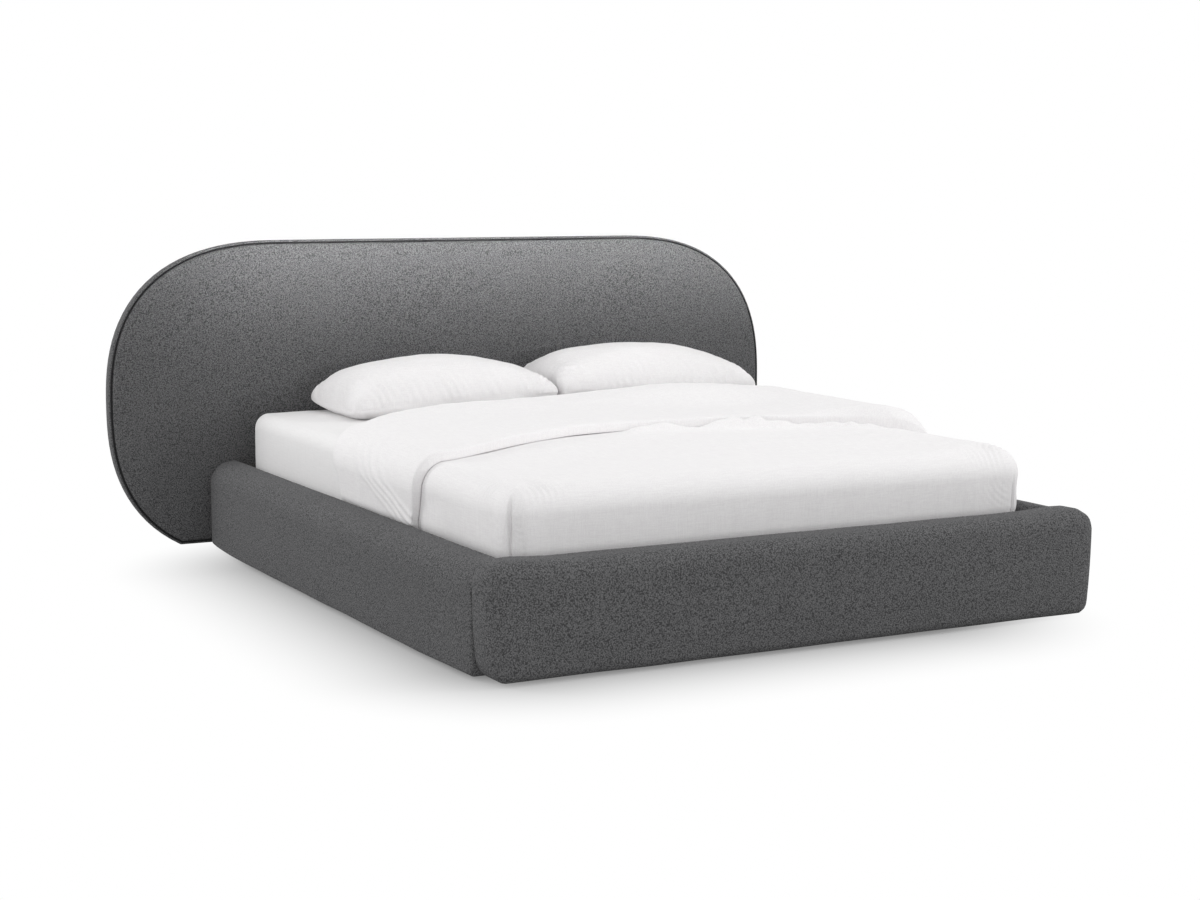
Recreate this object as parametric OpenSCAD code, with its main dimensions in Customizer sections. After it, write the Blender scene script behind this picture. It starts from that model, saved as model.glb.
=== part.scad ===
// Upholstered storage bed with a lifting slatted platform and its bedding.
// The origin is on the floor at the middle of the bed's plan. +Z is up,
// +Y points to the headboard and +X to the right of someone at the foot.

/* [Mattress] */
// Width of the mattress
mattress_w = 1600; // [1400:10:1800]
// Length of the mattress
mattress_l = 2000; // [1900:10:2100]
// Thickness of the mattress
mattress_h = 240; // [200:5:250]
// Radius of the mattress's long top and bottom edges
mattress_edge_r = 52; // [40:1:55]
// Radius of the mattress's corners in plan
mattress_corner_r = 60; // [60:1:130]
// Height of the mattress's underside above the floor
mattress_z = 200; // [190:1:215]

/* [Gaps round the mattress] */
// Gap between the mattress and each side rail
side_gap = 25; // [25:1:40]
// Gap between the mattress and the foot panel
foot_gap = 70; // [66:1:110]
// Gap between the mattress and the headboard, in which the mattress tips back
head_gap = 80; // [80:1:120]

/* [Upholstered base] */
// Thickness of each side rail with its upholstery
rail_t = 115; // [110:1:140]
// Height of the side rails above the floor
rail_top = 285; // [280:1:310]
// Thickness of the foot panel with its upholstery
foot_t = 115; // [110:1:140]
// Height of the foot panel above the floor
foot_top = 300; // [290:1:330]
// Clearance under the upholstery, which is the glides' height
glide_h = 10; // [8:1:16]
// Thickness of the fabric cover and its wadding
cover_t = 3; // [2:0.5:4]
// Radius of the rails' outer top edge
rail_outer_r = 48; // [30:1:52]
// Radius of the rails' inner top edge
rail_inner_r = 26; // [15:1:32]
// Radius of the rails' outer bottom edge
rail_bottom_r = 12; // [6:1:18]
// Radius of the foot panel's top edges
foot_top_r = 46; // [30:1:50]
// Radius of the foot panel's corners, seen from the front
foot_end_r = 46; // [30:1:60]
// Radius of the foot panel's front corners, seen from above
foot_plan_r = 50; // [30:1:60]
// Radius of the foot panel's bottom edges
foot_bottom_r = 30; // [15:1:35]

/* [Boards inside the base] */
// Thickness of the inner boards
inner_board_t = 18; // [15:1:22]
// Thickness of the outer boards
outer_board_t = 12; // [9:1:15]
// Thickness of the foam outside the boards
rail_foam_t = 37; // [30:1:45]
// Height of the foam above the boards
top_foam_h = 42; // [36:1:60]
// Length of the spacer blocks between the boards
block_l = 70; // [50:5:120]

/* [Headboard] */
// Width of the headboard
head_w = 2500; // [2300:10:2700]
// Height of the headboard above the floor
head_h = 1020; // [950:5:1150]
// Thickness of the headboard
head_t = 80; // [70:1:110]
// Width of the rounded corners
head_corner_w = 600; // [450:10:700]
// Height of the middle of the rounded ends, as a share of the headboard's height
head_mid_share = 0.47; // [0.42:0.01:0.5]
// How square the rounded corners are, where 2 is an ellipse
head_power = 2.5; // [2:0.1:3]
// Depth of the crown at the front edge
head_crown = 18; // [8:1:20]
// Foam in front of the headboard's panel
head_foam_t = 30; // [25:1:35]
// Foam over the edge of the headboard's panel
head_edge_foam_t = 15; // [10:1:25]
// Plywood panel of the headboard
head_panel_t = 12; // [9:1:18]
// Width of the battens behind the panel
head_batten_w = 70; // [50:5:90]
// Thickness of the lining on the back
lining_t = 2; // [1:0.5:3]
// Thickness of the piping
piping_d = 7; // [5:1:9]

/* [Storage well] */
// Height of the battens under the floor of the well
floor_batten_h = 16; // [14:1:20]
// Width of the battens under the floor of the well
floor_batten_w = 60; // [40:5:80]
// Number of battens under the floor of the well
floor_batten_n = 5; // [3:1:7]
// Thickness of the well's floor panels
floor_panel_t = 6; // [4:1:8]
// Thickness of the board across the head end
crossboard_t = 16; // [12:1:18]
// Height of the top of the board across the head end
crossboard_top = 250; // [230:1:260]
// Thickness of the steel angles that the platform rests on
ledge_t = 3; // [2:0.5:4]
// Depth of the side angles' upright leg
ledge_h = 42; // [36:1:50]
// Reach of the foot angle under the platform
foot_ledge_w = 50; // [45:1:60]
// Length of the side angles
ledge_l = 1040; // [800:10:1060]
// Thickness of the rubber rest pads
pad_t = 4; // [3:0.5:6]

/* [Lifting platform] */
// Width of the square steel tubes
tube_w = 30; // [25:1:30]
// Wall of the square steel tubes
tube_wall = 1.5; // [1:0.25:2.5]
// Length of the platform behind the pivots
tail_l = 270; // [220:5:280]
// Clearance between the platform and the foot panel
platform_foot_gap = 22; // [15:1:25]
// Number of slats in each row
slat_n = 14; // [10:1:16]
// Width of a slat
slat_w = 63; // [50:1:70]
// Thickness of a slat
slat_t = 8; // [6:1:9]
// Rise of a slat's crown
slat_rise = 6; // [0:1:8]
// Width of the pull strap
strap_w = 40; // [30:1:50]

/* [Lift hinges] */
// Distance from the headboard to the pivots
pivot_back = 425; // [425:1:460]
// Height of the pivots above the floor
pivot_z = 235; // [230:1:240]
// Thickness of the hinge plates
plate_t = 5; // [4:0.5:6]
// Thickness of the lift arms
arm_t = 5; // [4:0.5:6]
// Radius of the pivot pins
pin_r = 7; // [6:0.5:9]
// Length of the lift arms in front of the pivots
arm_l = 620; // [560:5:700]

/* [Gas struts] */
// Distance from the pivot back to the lower stud
strut_low_back = 60; // [50:1:80]
// Distance from the pivot down to the lower stud
strut_low_drop = 190; // [180:1:195]
// Distance from the pivot forward to the upper stud
strut_up_fore = 400; // [380:1:430]
// Distance from the pivot down to the upper stud
strut_up_drop = 65; // [62:1:70]
// Radius of the strut's cylinder
cylinder_r = 9; // [8:0.5:9]
// Radius of the strut's rod
rod_r = 4; // [3:0.5:5]
// Travel of the rod
stroke = 78; // [70:1:90]
// Radius of the strut studs
stud_r = 4; // [3:0.5:5]

/* [Bedding] */
// Thickness of the duvet
duvet_t = 22; // [16:1:32]
// Extra height where the duvet is turned back
duvet_fold_h = 24; // [14:1:34]
// Height of the duvet's hem above the floor
duvet_hem_z = 268; // [262:1:285]
// Distance from the headboard to the duvet's rear edge at the sides
duvet_rear_side = 860; // [800:5:950]
// Distance that the duvet's rear edge reaches further back at the middle
duvet_rear_bow = 300; // [200:5:330]
// Length of the turned-back band at the sides
band_side_l = 735; // [600:5:800]
// Length of the turned-back band at the middle
band_mid_l = 650; // [500:5:750]
// Width of a pillow
pillow_w = 735; // [600:5:760]
// Depth of a pillow
pillow_d = 420; // [380:5:440]
// Height of a pillow's crown
pillow_h = 186; // [150:1:195]
// Gap between a pillow and the headboard
pillow_back_gap = 105; // [100:1:130]
// Gap between the two pillows
pillow_gap = 17; // [10:1:40]
// How far the pair of pillows lies to the right of the middle
pillow_shift = 139; // [0:1:140]

/* [Hidden] */
$fn = 48;

// Clearances, and the overrun of every cut
overrun = 1;
fit_gap = 0.05;
seat_gap = 0.3;
panel_gap = 1;
slice_t = 0.1;

// Places along X
inner_x = mattress_w / 2 + side_gap;
outer_x = inner_x + rail_t;

// Places along Y
total_l = foot_t + foot_gap + mattress_l + head_gap + head_t;
foot_y = -total_l / 2;
foot_in_y = foot_y + foot_t;
mattress_foot_y = foot_in_y + foot_gap;
mattress_head_y = mattress_foot_y + mattress_l;
head_y = mattress_head_y + head_gap;
back_y = head_y + head_t;
crossboard_y = head_y - crossboard_t;
pivot_y = head_y - pivot_back;

// Boards inside the rails and the foot panel
foot_rear_r = 8;
foot_board_end = 50;
boards_z = glide_h + cover_t;
rail_board_top = rail_top - cover_t - top_foam_h;
foot_board_top = foot_top - cover_t - top_foam_h;
rail_boards_x = inner_x + cover_t;
rail_boards_w = rail_t - 2 * cover_t - rail_foam_t;
foot_boards_w = foot_t - 2 * cover_t - rail_foam_t;
foot_boards_y = foot_in_y - cover_t - foot_boards_w;
foot_boards_x = outer_x - foot_board_end;
block_ys = [for (k = [0:4]) foot_in_y + block_l / 2 + k * (head_y - foot_in_y - block_l) / 4];
block_xs = [for (k = [-2:2]) k * (foot_boards_x - block_l / 2) / 2];
glide_r = 15;
rail_glide_x = rail_boards_x + rail_boards_w / 2;
foot_glide_y = foot_boards_y + foot_boards_w / 2;

// Headboard
piping_stand = 3;
head_mid_z = head_mid_share * head_h;
head_corner_h = head_h - head_mid_z;
head_panel_inset = piping_stand + cover_t + head_edge_foam_t;
head_panel_y = head_y + cover_t + head_foam_t;
head_batten_y = head_panel_y + head_panel_t;
head_back_y = back_y - lining_t;
lining_inset = piping_stand + 2 * cover_t;
corner_steps = 20;
crown_mid_share = 0.3;
batten_x_share = 0.34;
head_glide_share = 0.27;
head_glide_x = head_glide_share * head_w;

// Corner brackets and their bolts
bracket_t = 4;
bracket_w = 50;
bracket_h = 70;
bracket_z = floor_batten_h + floor_panel_t + panel_gap;
bolt_r = 4;
bolt_l = 16;
bolt_head_r = 7;
bolt_head_h = 5;
bolt_zs = [bracket_z + bracket_h / 4, bracket_z + bracket_h * 3 / 4];
screw_r = 2.5;
screw_l = 14;
screw_head_r = 4.8;
screw_head_h = 2.2;

// Lifting platform
floor_top = floor_batten_h + floor_panel_t;
holder_base = 2;
holder_l = 26;
holder_lip = 3;
slat_steps = 12;
slat_end_top = mattress_z - seat_gap - slat_rise;
slat_end_z = slat_end_top - slat_t;
tube_top = slat_end_z - holder_base;
tube_z = tube_top - tube_w;
side_tube_x = mattress_w / 2 - side_gap * 3 / 5;
platform_foot_y = foot_in_y + platform_foot_gap;
platform_head_y = pivot_y + tail_l;
slat_edge_gap = 30;
slat_first_y = platform_foot_y + tube_w + slat_edge_gap + slat_w / 2;
slat_last_y = platform_head_y - tube_w - slat_edge_gap - slat_w / 2;
slat_ys = [for (k = [0:slat_n - 1])
    slat_first_y + k * (slat_last_y - slat_first_y) / (slat_n - 1)];
slat_in_x = tube_w / 2 - holder_lip;
slat_out_x = side_tube_x - tube_w + holder_lip;
stop_t = 3;
stop_w = 60;
stop_h = 70;
stop_foot_l = 25;
stop_xs = [-mattress_w / 4, mattress_w / 4];
strap_t = 3;
strap_rise = 60;

// Ledges under the platform
ledge_top = tube_z - seat_gap - pad_t;
ledge_z = ledge_top - ledge_h;
side_ledge_x = side_tube_x - tube_w - panel_gap;
foot_ledge_x = side_ledge_x - tube_w;
ledge_end_gap = 30;
ledge_screw_n = 5;
pad_r = 10;
pad_ys = [foot_in_y + foot_ledge_w + ledge_end_gap, foot_in_y + ledge_l / 2,
    foot_in_y + ledge_l - ledge_end_gap];
pad_xs = [-foot_ledge_x + ledge_end_gap, 0, foot_ledge_x - ledge_end_gap];

// Hinges and struts, across the gap beside the mattress
plate_x = inner_x - plate_t;
arm_gap = 1;
arm_x = plate_x - arm_gap - arm_t;
hub_r = 22;
arm_shoulder_l = 110;
pin_head_r = 11;
pin_head_h = 4;
pin_end_gap = 0.2;
spacer_r = 8;
spacer_end = 60;
spacer_pitch = 110;
spacer_fores = [spacer_end, arm_l - spacer_end - spacer_pitch, arm_l - spacer_end];
spacer_z = (tube_z + tube_top) / 2;
plate_fore = 45;
plate_back = 85;
plate_rise = 20;
plate_lift = 4;
plate_top = pivot_z + plate_rise;
plate_bottom = floor_top + plate_lift;
plate_round = 12;
stud_flange_r = 8;
stud_head_h = 2;
eye_w = 10;
eye_r = 10.5;
eye_bore_r = 6.6;
eye_gap = 1;
strut_x = arm_x - cylinder_r - eye_w / 2;
strut_low_y = pivot_y + strut_low_back;
strut_low_z = pivot_z - strut_low_drop;
strut_up_y = pivot_y - strut_up_fore;
strut_up_z = pivot_z - strut_up_drop;
// At rest the rod's eye sits this far off its stud, which halves its play
eye_off_y = -2.1;
eye_off_z = 0.6;
strut_dy = strut_up_y + eye_off_y - strut_low_y;
strut_dz = strut_up_z + eye_off_z - strut_low_z;
strut_l = norm([strut_dy, strut_dz]);
strut_tilt = atan2(strut_dz, -strut_dy);
cylinder_start = 22;
cylinder_l = 300;
cylinder_wall = 1.5;
cylinder_plug = 10;
gland_l = 14;
piston_l = 8;
piston_gap = 0.1;
piston_d = cylinder_start + cylinder_l - gland_l - stroke - piston_l - gland_l / 2;
neck_r = 4.5;

// Bedding
mattress_top = mattress_z + mattress_h;
mattress_waist = 4;
mattress_corner_steps = 6;
edge_steps = 4;
duvet_side_t = 10;
duvet_under_gap = 1.2;
duvet_edge_give = 5;
duvet_wave = 3;
duvet_side_wave = 2;
duvet_wave_l = 330;
duvet_step = 16;
duvet_top_n = 10;
duvet_drop_n = 2;
duvet_band_n = 6;
duvet_low_n = 7;
pillow_n = 18;
pillow_m = 14;
pillow_seam_t = 3;
pillow_under_share = 0.36;
pillow_pull_share = 0.07;
pillow_power = 2.6;
pillow_round_share = 0.62;
pillow_flat_share = 1.7;

// Extrudes an outline drawn in X and Z from y0 to y1
module along_y(y0, y1) {
    translate([0, y1, 0]) rotate([90, 0, 0]) linear_extrude(y1 - y0) children();
}

// Extrudes an outline drawn in Y and Z from x0 to x1
module along_x(x0, x1) {
    translate([x0, 0, 0]) rotate([90, 0, 90]) linear_extrude(x1 - x0) children();
}

// A round bar along X from x0 to x1
module bar_x(x0, x1, y, z, r) {
    translate([x0, y, z]) rotate([0, 90, 0]) cylinder(r = r, h = x1 - x0);
}

// A round bar along Y from y0 to y1
module bar_y(y0, y1, x, z, r) {
    translate([x, y1, z]) rotate([90, 0, 0]) cylinder(r = r, h = y1 - y0);
}

module block(lo, hi) {
    translate(lo) cube(hi - lo);
}

// Copies a right-hand piece to the left as well
module both_sides() {
    children();
    mirror([1, 0, 0]) children();
}

// What a rounded corner of radius r takes off the corner at the origin
module corner_cut(r) {
    if (r > 0) difference() {
        translate([-overrun, -overrun]) square([r + overrun, r + overrun]);
        translate([r, r]) circle(r);
    }
}

// A rectangle whose corners, from the low left one round, have their own radii
module rounded_outline(lo, hi, r) {
    difference() {
        translate(lo) square(hi - lo);
        translate(lo) corner_cut(r[0]);
        translate([hi[0], lo[1]]) mirror([1, 0]) corner_cut(r[1]);
        translate(hi) rotate(180) corner_cut(r[2]);
        translate([lo[0], hi[1]]) mirror([0, 1]) corner_cut(r[3]);
    }
}

// Section of a side rail, drawn in by the inset
module rail_outline(inset) {
    rounded_outline([inner_x + inset, glide_h + inset], [outer_x - inset, rail_top - inset],
        [0, rail_bottom_r - inset, rail_outer_r - inset, rail_inner_r - inset]);
}

module rail_boards() {
    color("burlywood") difference() {
        union() {
            block([rail_boards_x, foot_in_y, boards_z],
                [rail_boards_x + inner_board_t, head_y, rail_board_top]);
            block([rail_boards_x + rail_boards_w - outer_board_t, foot_in_y, boards_z],
                [rail_boards_x + rail_boards_w, head_y, rail_board_top]);
        }
        rail_holes();
    }
}

module rail_blocks() {
    color("tan") difference() {
        for (y = block_ys) block([rail_boards_x + inner_board_t, y - block_l / 2, boards_z],
            [rail_boards_x + rail_boards_w - outer_board_t, y + block_l / 2, rail_board_top]);
        rail_holes();
    }
}

module rail_foam() {
    color("khaki") difference() {
        along_y(foot_in_y, head_y) rail_outline(cover_t);
        block([rail_boards_x - overrun, foot_in_y - overrun, glide_h],
            [rail_boards_x + rail_boards_w, head_y + overrun, rail_board_top]);
    }
}

module rail_cover() {
    color("dimgray") difference() {
        along_y(foot_in_y, head_y) rail_outline(0);
        along_y(foot_in_y - overrun, head_y + overrun) rail_outline(cover_t);
        rail_holes();
    }
}

// Holes in a side rail for its bolts and screws
module rail_holes() {
    rail_bolts();
    side_ledge_screws();
    side_hinge_screws();
}

// Bolts through a bracket into a side rail
module rail_bolts() {
    for (y = bracket_ys) for (z = bolt_zs) {
        bar_x(inner_x - bracket_t, inner_x + bolt_l, y, z, bolt_r);
    }
}

bracket_ys = [foot_in_y + bracket_w * 3 / 5, crossboard_y - bracket_w * 3 / 5];
bracket_bolt_x = inner_x - bracket_w * 3 / 5;

// The foot panel's solid, drawn in by the inset
module foot_solid(inset) {
    intersection() {
        along_y(foot_y - overrun, foot_in_y + overrun) rounded_outline(
            [-outer_x + inset, glide_h + inset], [outer_x - inset, foot_top - inset],
            [foot_bottom_r - inset, foot_bottom_r - inset, foot_end_r - inset, foot_end_r - inset]);
        along_x(-outer_x - overrun, outer_x + overrun) rounded_outline(
            [foot_y + inset, glide_h + inset], [foot_in_y - inset, foot_top - inset],
            [rail_bottom_r - inset, 0, rail_inner_r - inset, foot_top_r - inset]);
        linear_extrude(foot_top + overrun) rounded_outline(
            [-outer_x + inset, foot_y + inset], [outer_x - inset, foot_in_y - inset],
            [foot_plan_r - inset, foot_plan_r - inset, foot_rear_r - inset, foot_rear_r - inset]);
    }
}

module foot_boards() {
    color("burlywood") difference() {
        union() {
            block([-foot_boards_x, foot_in_y - cover_t - inner_board_t, boards_z],
                [foot_boards_x, foot_in_y - cover_t, foot_board_top]);
            block([-foot_boards_x, foot_boards_y, boards_z],
                [foot_boards_x, foot_boards_y + outer_board_t, foot_board_top]);
        }
        foot_holes();
    }
}

module foot_blocks() {
    color("tan") for (x = block_xs) {
        block([x - block_l / 2, foot_boards_y + outer_board_t, boards_z],
            [x + block_l / 2, foot_in_y - cover_t - inner_board_t, foot_board_top]);
    }
}

module foot_foam() {
    color("khaki") difference() {
        foot_solid(cover_t);
        block([-foot_boards_x, foot_boards_y, glide_h],
            [foot_boards_x, foot_in_y, foot_board_top]);
    }
}

module foot_cover() {
    color("dimgray") difference() {
        foot_solid(0);
        foot_solid(cover_t);
        foot_holes();
    }
}

module foot_holes() {
    foot_bolts();
    foot_ledge_screws();
}

module foot_bolts() {
    both_sides() for (z = bolt_zs) {
        bar_y(foot_in_y - bolt_l, foot_in_y + bracket_t, bracket_bolt_x, z, bolt_r);
    }
}

// One point of the headboard's rounded corner, an ellipse made squarer
function corner_point(a, b, t) = [a * pow(cos(t), 2 / head_power), b * pow(sin(t), 2 / head_power)];

function corner_points(a, b) = [for (k = [0:corner_steps]) corner_point(a, b, k * 90 / corner_steps)];

function reversed(list) = [for (k = [len(list) - 1:-1:0]) list[k]];

// The headboard's outline in X and Z, drawn in by the inset and flat underneath
module head_outline(inset) {
    a = head_corner_w - inset;
    b = head_corner_h - inset;
    centre_x = head_w / 2 - head_corner_w;
    quarter = corner_points(a, b);
    intersection() {
        polygon(concat(
            [for (p = quarter) [centre_x + p[0], head_mid_z + p[1]]],
            [for (p = reversed(quarter)) [-centre_x - p[0], head_mid_z + p[1]]],
            [for (p = quarter) [-centre_x - p[0], head_mid_z - p[1]]],
            [for (p = reversed(quarter)) [centre_x + p[0], head_mid_z - p[1]]]));
        translate([-head_w, glide_h + inset]) square([2 * head_w, head_h]);
    }
}

// The headboard's solid with its crowned front edge, drawn in by the inset
module head_solid(inset, y1) {
    y0 = head_y + inset - piping_stand;
    hull() {
        along_y(y0, y0 + slice_t) head_outline(inset + head_crown);
        along_y(y0 + head_crown * crown_mid_share, y0 + head_crown * crown_mid_share + slice_t)
            head_outline(inset + head_crown * crown_mid_share);
        along_y(y0 + head_crown, y1) head_outline(inset);
    }
}

module headboard_cover() {
    color("dimgray") difference() {
        head_solid(piping_stand, head_back_y);
        head_solid(piping_stand + cover_t, head_back_y + overrun);
        head_bolts();
    }
}

module headboard_foam() {
    color("khaki") difference() {
        head_solid(piping_stand + cover_t, head_back_y);
        along_y(head_panel_y, head_back_y + overrun) head_outline(head_panel_inset);
        head_bolts();
    }
}

module headboard_panel() {
    color("burlywood") difference() {
        along_y(head_panel_y, head_batten_y) head_outline(head_panel_inset);
        head_bolts();
    }
}

module headboard_battens() {
    low = glide_h + head_panel_inset;
    high = head_h - head_panel_inset;
    mid = (low + high) / 2;
    bands = [low, mid - head_batten_w / 2, high - head_batten_w];
    color("tan") {
        intersection() {
            along_y(head_batten_y, head_back_y) head_outline(head_panel_inset);
            for (z = bands) block([-head_w, head_batten_y, z],
                [head_w, head_back_y, z + head_batten_w]);
        }
        for (x = [-batten_x_share * head_w / 2, batten_x_share * head_w / 2]) for (k = [0, 1]) {
            block([x - head_batten_w / 2, head_batten_y, bands[k] + head_batten_w],
                [x + head_batten_w / 2, head_back_y, bands[k + 1]]);
        }
    }
}

module headboard_piping() {
    y = head_y + head_crown;
    color("gray") difference() {
        along_y(y, y + piping_d) head_outline(0);
        along_y(y - overrun, y + piping_d + overrun) head_outline(piping_stand);
    }
}

module headboard_back_lining() {
    color("black") along_y(head_back_y, back_y) head_outline(lining_inset);
}

// Bolts through the head brackets, the board across the head end and the headboard
module head_bolts() {
    both_sides() for (z = bolt_zs) {
        bar_y(crossboard_y - bracket_t, head_panel_y + head_panel_t, bracket_bolt_x, z, bolt_r);
    }
}

module head_crossboard() {
    color("burlywood") difference() {
        block([-inner_x, crossboard_y, bracket_z], [inner_x, head_y, crossboard_top]);
        head_bolts();
    }
}

module corner_brackets() {
    color("darkgray") both_sides() difference() {
        union() {
            block([inner_x - bracket_w, foot_in_y, bracket_z],
                [inner_x, foot_in_y + bracket_t, bracket_z + bracket_h]);
            block([inner_x - bracket_t, foot_in_y, bracket_z],
                [inner_x, foot_in_y + bracket_w, bracket_z + bracket_h]);
            block([inner_x - bracket_w, crossboard_y - bracket_t, bracket_z],
                [inner_x, crossboard_y, bracket_z + bracket_h]);
            block([inner_x - bracket_t, crossboard_y - bracket_w, bracket_z],
                [inner_x, crossboard_y, bracket_z + bracket_h]);
        }
        rail_bolts();
        foot_bolts();
        head_bolts();
    }
}

module frame_bolts() {
    color("silver") {
        both_sides() {
            rail_bolts();
            for (y = bracket_ys) for (z = bolt_zs) {
                bar_x(inner_x - bracket_t - bolt_head_h, inner_x - bracket_t, y, z, bolt_head_r);
            }
            for (z = bolt_zs) {
                bar_y(foot_in_y + bracket_t, foot_in_y + bracket_t + bolt_head_h,
                    bracket_bolt_x, z, bolt_head_r);
                bar_y(crossboard_y - bracket_t - bolt_head_h, crossboard_y - bracket_t,
                    bracket_bolt_x, z, bolt_head_r);
            }
        }
        foot_bolts();
        head_bolts();
    }
}

module glides() {
    color("black") {
        both_sides() for (y = [block_ys[0], block_ys[2], block_ys[4]]) {
            translate([rail_glide_x, y, 0]) cylinder(r = glide_r, h = glide_h);
        }
        for (x = [block_xs[1], block_xs[3]]) {
            translate([x, foot_glide_y, 0]) cylinder(r = glide_r, h = glide_h);
        }
        for (x = [-head_glide_x, head_glide_x]) {
            translate([x, head_y + head_t / 2, 0]) cylinder(r = glide_r, h = glide_h + piping_stand);
        }
    }
}

module floor_battens() {
    first = foot_in_y + panel_gap;
    last = crossboard_y - panel_gap - floor_batten_w;
    color("tan") for (k = [0:floor_batten_n - 1]) {
        y = first + k * (last - first) / (floor_batten_n - 1);
        block([-inner_x, y, 0], [inner_x, y + floor_batten_w, floor_batten_h]);
    }
}

module right_floor_panel() {
    color("wheat") block([panel_gap / 2, foot_in_y + panel_gap, floor_batten_h],
        [inner_x - panel_gap, crossboard_y - panel_gap, floor_top]);
}

module left_floor_panel() {
    mirror([1, 0, 0]) right_floor_panel();
}

module side_ledge_screws() {
    for (k = [1:ledge_screw_n]) {
        y = foot_in_y + (k - 1 / 2) * ledge_l / ledge_screw_n;
        bar_x(inner_x - ledge_t, inner_x + screw_l, y, ledge_z + ledge_h / 3, screw_r);
    }
}

module foot_ledge_screws() {
    for (k = [1:ledge_screw_n]) {
        x = -foot_ledge_x + (k - 1 / 2) * 2 * foot_ledge_x / ledge_screw_n;
        bar_y(foot_in_y - screw_l, foot_in_y + ledge_t, x, ledge_z + ledge_h / 3, screw_r);
    }
}

module right_ledge() {
    color("darkgray") difference() {
        union() {
            block([inner_x - ledge_t, foot_in_y, ledge_z], [inner_x, foot_in_y + ledge_l, ledge_top]);
            block([side_ledge_x, foot_in_y, ledge_top - ledge_t],
                [inner_x, foot_in_y + ledge_l, ledge_top]);
        }
        side_ledge_screws();
    }
}

module left_ledge() {
    mirror([1, 0, 0]) right_ledge();
}

module foot_ledge() {
    color("darkgray") difference() {
        union() {
            block([-foot_ledge_x, foot_in_y, ledge_z], [foot_ledge_x, foot_in_y + ledge_t, ledge_top]);
            block([-foot_ledge_x, foot_in_y, ledge_top - ledge_t],
                [foot_ledge_x, foot_in_y + foot_ledge_w, ledge_top]);
        }
        foot_ledge_screws();
    }
}

// Screws of the ledges, with their heads standing on the upright legs
module ledge_screws() {
    z = ledge_z + ledge_h / 3;
    color("silver") {
        both_sides() {
            side_ledge_screws();
            for (k = [1:ledge_screw_n]) {
                y = foot_in_y + (k - 1 / 2) * ledge_l / ledge_screw_n;
                bar_x(inner_x - ledge_t - screw_head_h, inner_x - ledge_t, y, z, screw_head_r);
            }
        }
        foot_ledge_screws();
        for (k = [1:ledge_screw_n]) {
            x = -foot_ledge_x + (k - 1 / 2) * 2 * foot_ledge_x / ledge_screw_n;
            bar_y(foot_in_y + ledge_t, foot_in_y + ledge_t + screw_head_h, x, z, screw_head_r);
        }
    }
}

module rest_pads() {
    color("black") {
        both_sides() for (y = pad_ys) {
            translate([side_tube_x - tube_w / 2, y, ledge_top]) cylinder(r = pad_r, h = pad_t);
        }
        for (x = pad_xs) {
            translate([x, platform_foot_y + pad_r, ledge_top]) cylinder(r = pad_r, h = pad_t);
        }
    }
}

// Places of the hinge plate's screws, in Y and Z
function hinge_screw_places() =
    let (low = plate_bottom + plate_round, high = rail_board_top - plate_round)
    [for (y = [pivot_y - plate_fore + 2 * plate_round, pivot_y + plate_back - plate_round])
        for (z = [low, (low + high) / 2, high]) [y, z]];

module side_hinge_screws() {
    for (p = hinge_screw_places()) bar_x(inner_x - plate_t + screw_head_h, inner_x + screw_l,
        p[0], p[1], screw_r);
}

module hinge_screw_heads() {
    for (p = hinge_screw_places()) bar_x(plate_x, plate_x + screw_head_h, p[0], p[1], screw_head_r);
}

module hinge_screws() {
    color("silver") both_sides() {
        side_hinge_screws();
        hinge_screw_heads();
    }
}

module right_hinge_plate() {
    color("dimgray") difference() {
        along_x(plate_x, inner_x) rounded_outline([pivot_y - plate_fore, plate_bottom],
            [pivot_y + plate_back, plate_top],
            [plate_round, plate_round, plate_round, plate_round]);
        bar_x(plate_x - overrun, inner_x + overrun, pivot_y, pivot_z, pin_r + fit_gap);
        side_hinge_screws();
        hinge_screw_heads();
    }
}

module left_hinge_plate() {
    mirror([1, 0, 0]) right_hinge_plate();
}

// A stud that holds a strut's eye, standing off a plate whose face is at x1
module strut_stud(x1, y, z) {
    eye_x0 = strut_x - eye_w / 2 - eye_gap;
    eye_x1 = strut_x + eye_w / 2 + eye_gap;
    bar_x(eye_x0 - stud_head_h, x1, y, z, stud_r);
    bar_x(eye_x0 - stud_head_h, eye_x0, y, z, stud_flange_r);
    bar_x(eye_x1, x1, y, z, stud_flange_r);
}

module lower_studs() {
    color("silver") both_sides() strut_stud(plate_x, strut_low_y, strut_low_z);
}

module upper_studs() {
    color("silver") both_sides() strut_stud(arm_x, strut_up_y, strut_up_z);
}

// Square tube along Y
module tube_y(x, y0, y1) {
    difference() {
        block([x, y0, tube_z], [x + tube_w, y1, tube_top]);
        block([x + tube_wall, y0 - overrun, tube_z + tube_wall],
            [x + tube_w - tube_wall, y1 + overrun, tube_top - tube_wall]);
    }
}

// Square tube along X
module tube_x(y, x0, x1) {
    difference() {
        block([x0, y, tube_z], [x1, y + tube_w, tube_top]);
        block([x0 - overrun, y + tube_wall, tube_z + tube_wall],
            [x1 + overrun, y + tube_w - tube_wall, tube_top - tube_wall]);
    }
}

module right_side_tube() {
    color("slategray") difference() {
        tube_y(side_tube_x - tube_w, platform_foot_y, platform_head_y);
        side_arm_bolts();
    }
}

module left_side_tube() {
    mirror([1, 0, 0]) right_side_tube();
}

module head_tube() {
    color("slategray") tube_x(platform_head_y - tube_w, -side_tube_x + tube_w, side_tube_x - tube_w);
}

module foot_tube() {
    color("slategray") tube_x(platform_foot_y, -side_tube_x + tube_w, side_tube_x - tube_w);
}

module centre_tube() {
    color("slategray") tube_y(-tube_w / 2, platform_foot_y + tube_w, platform_head_y - tube_w);
}

// Rise of a slat's crown at a share of its length
function slat_arch(share) = slat_rise * (1 - pow(2 * share - 1, 2));

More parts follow.
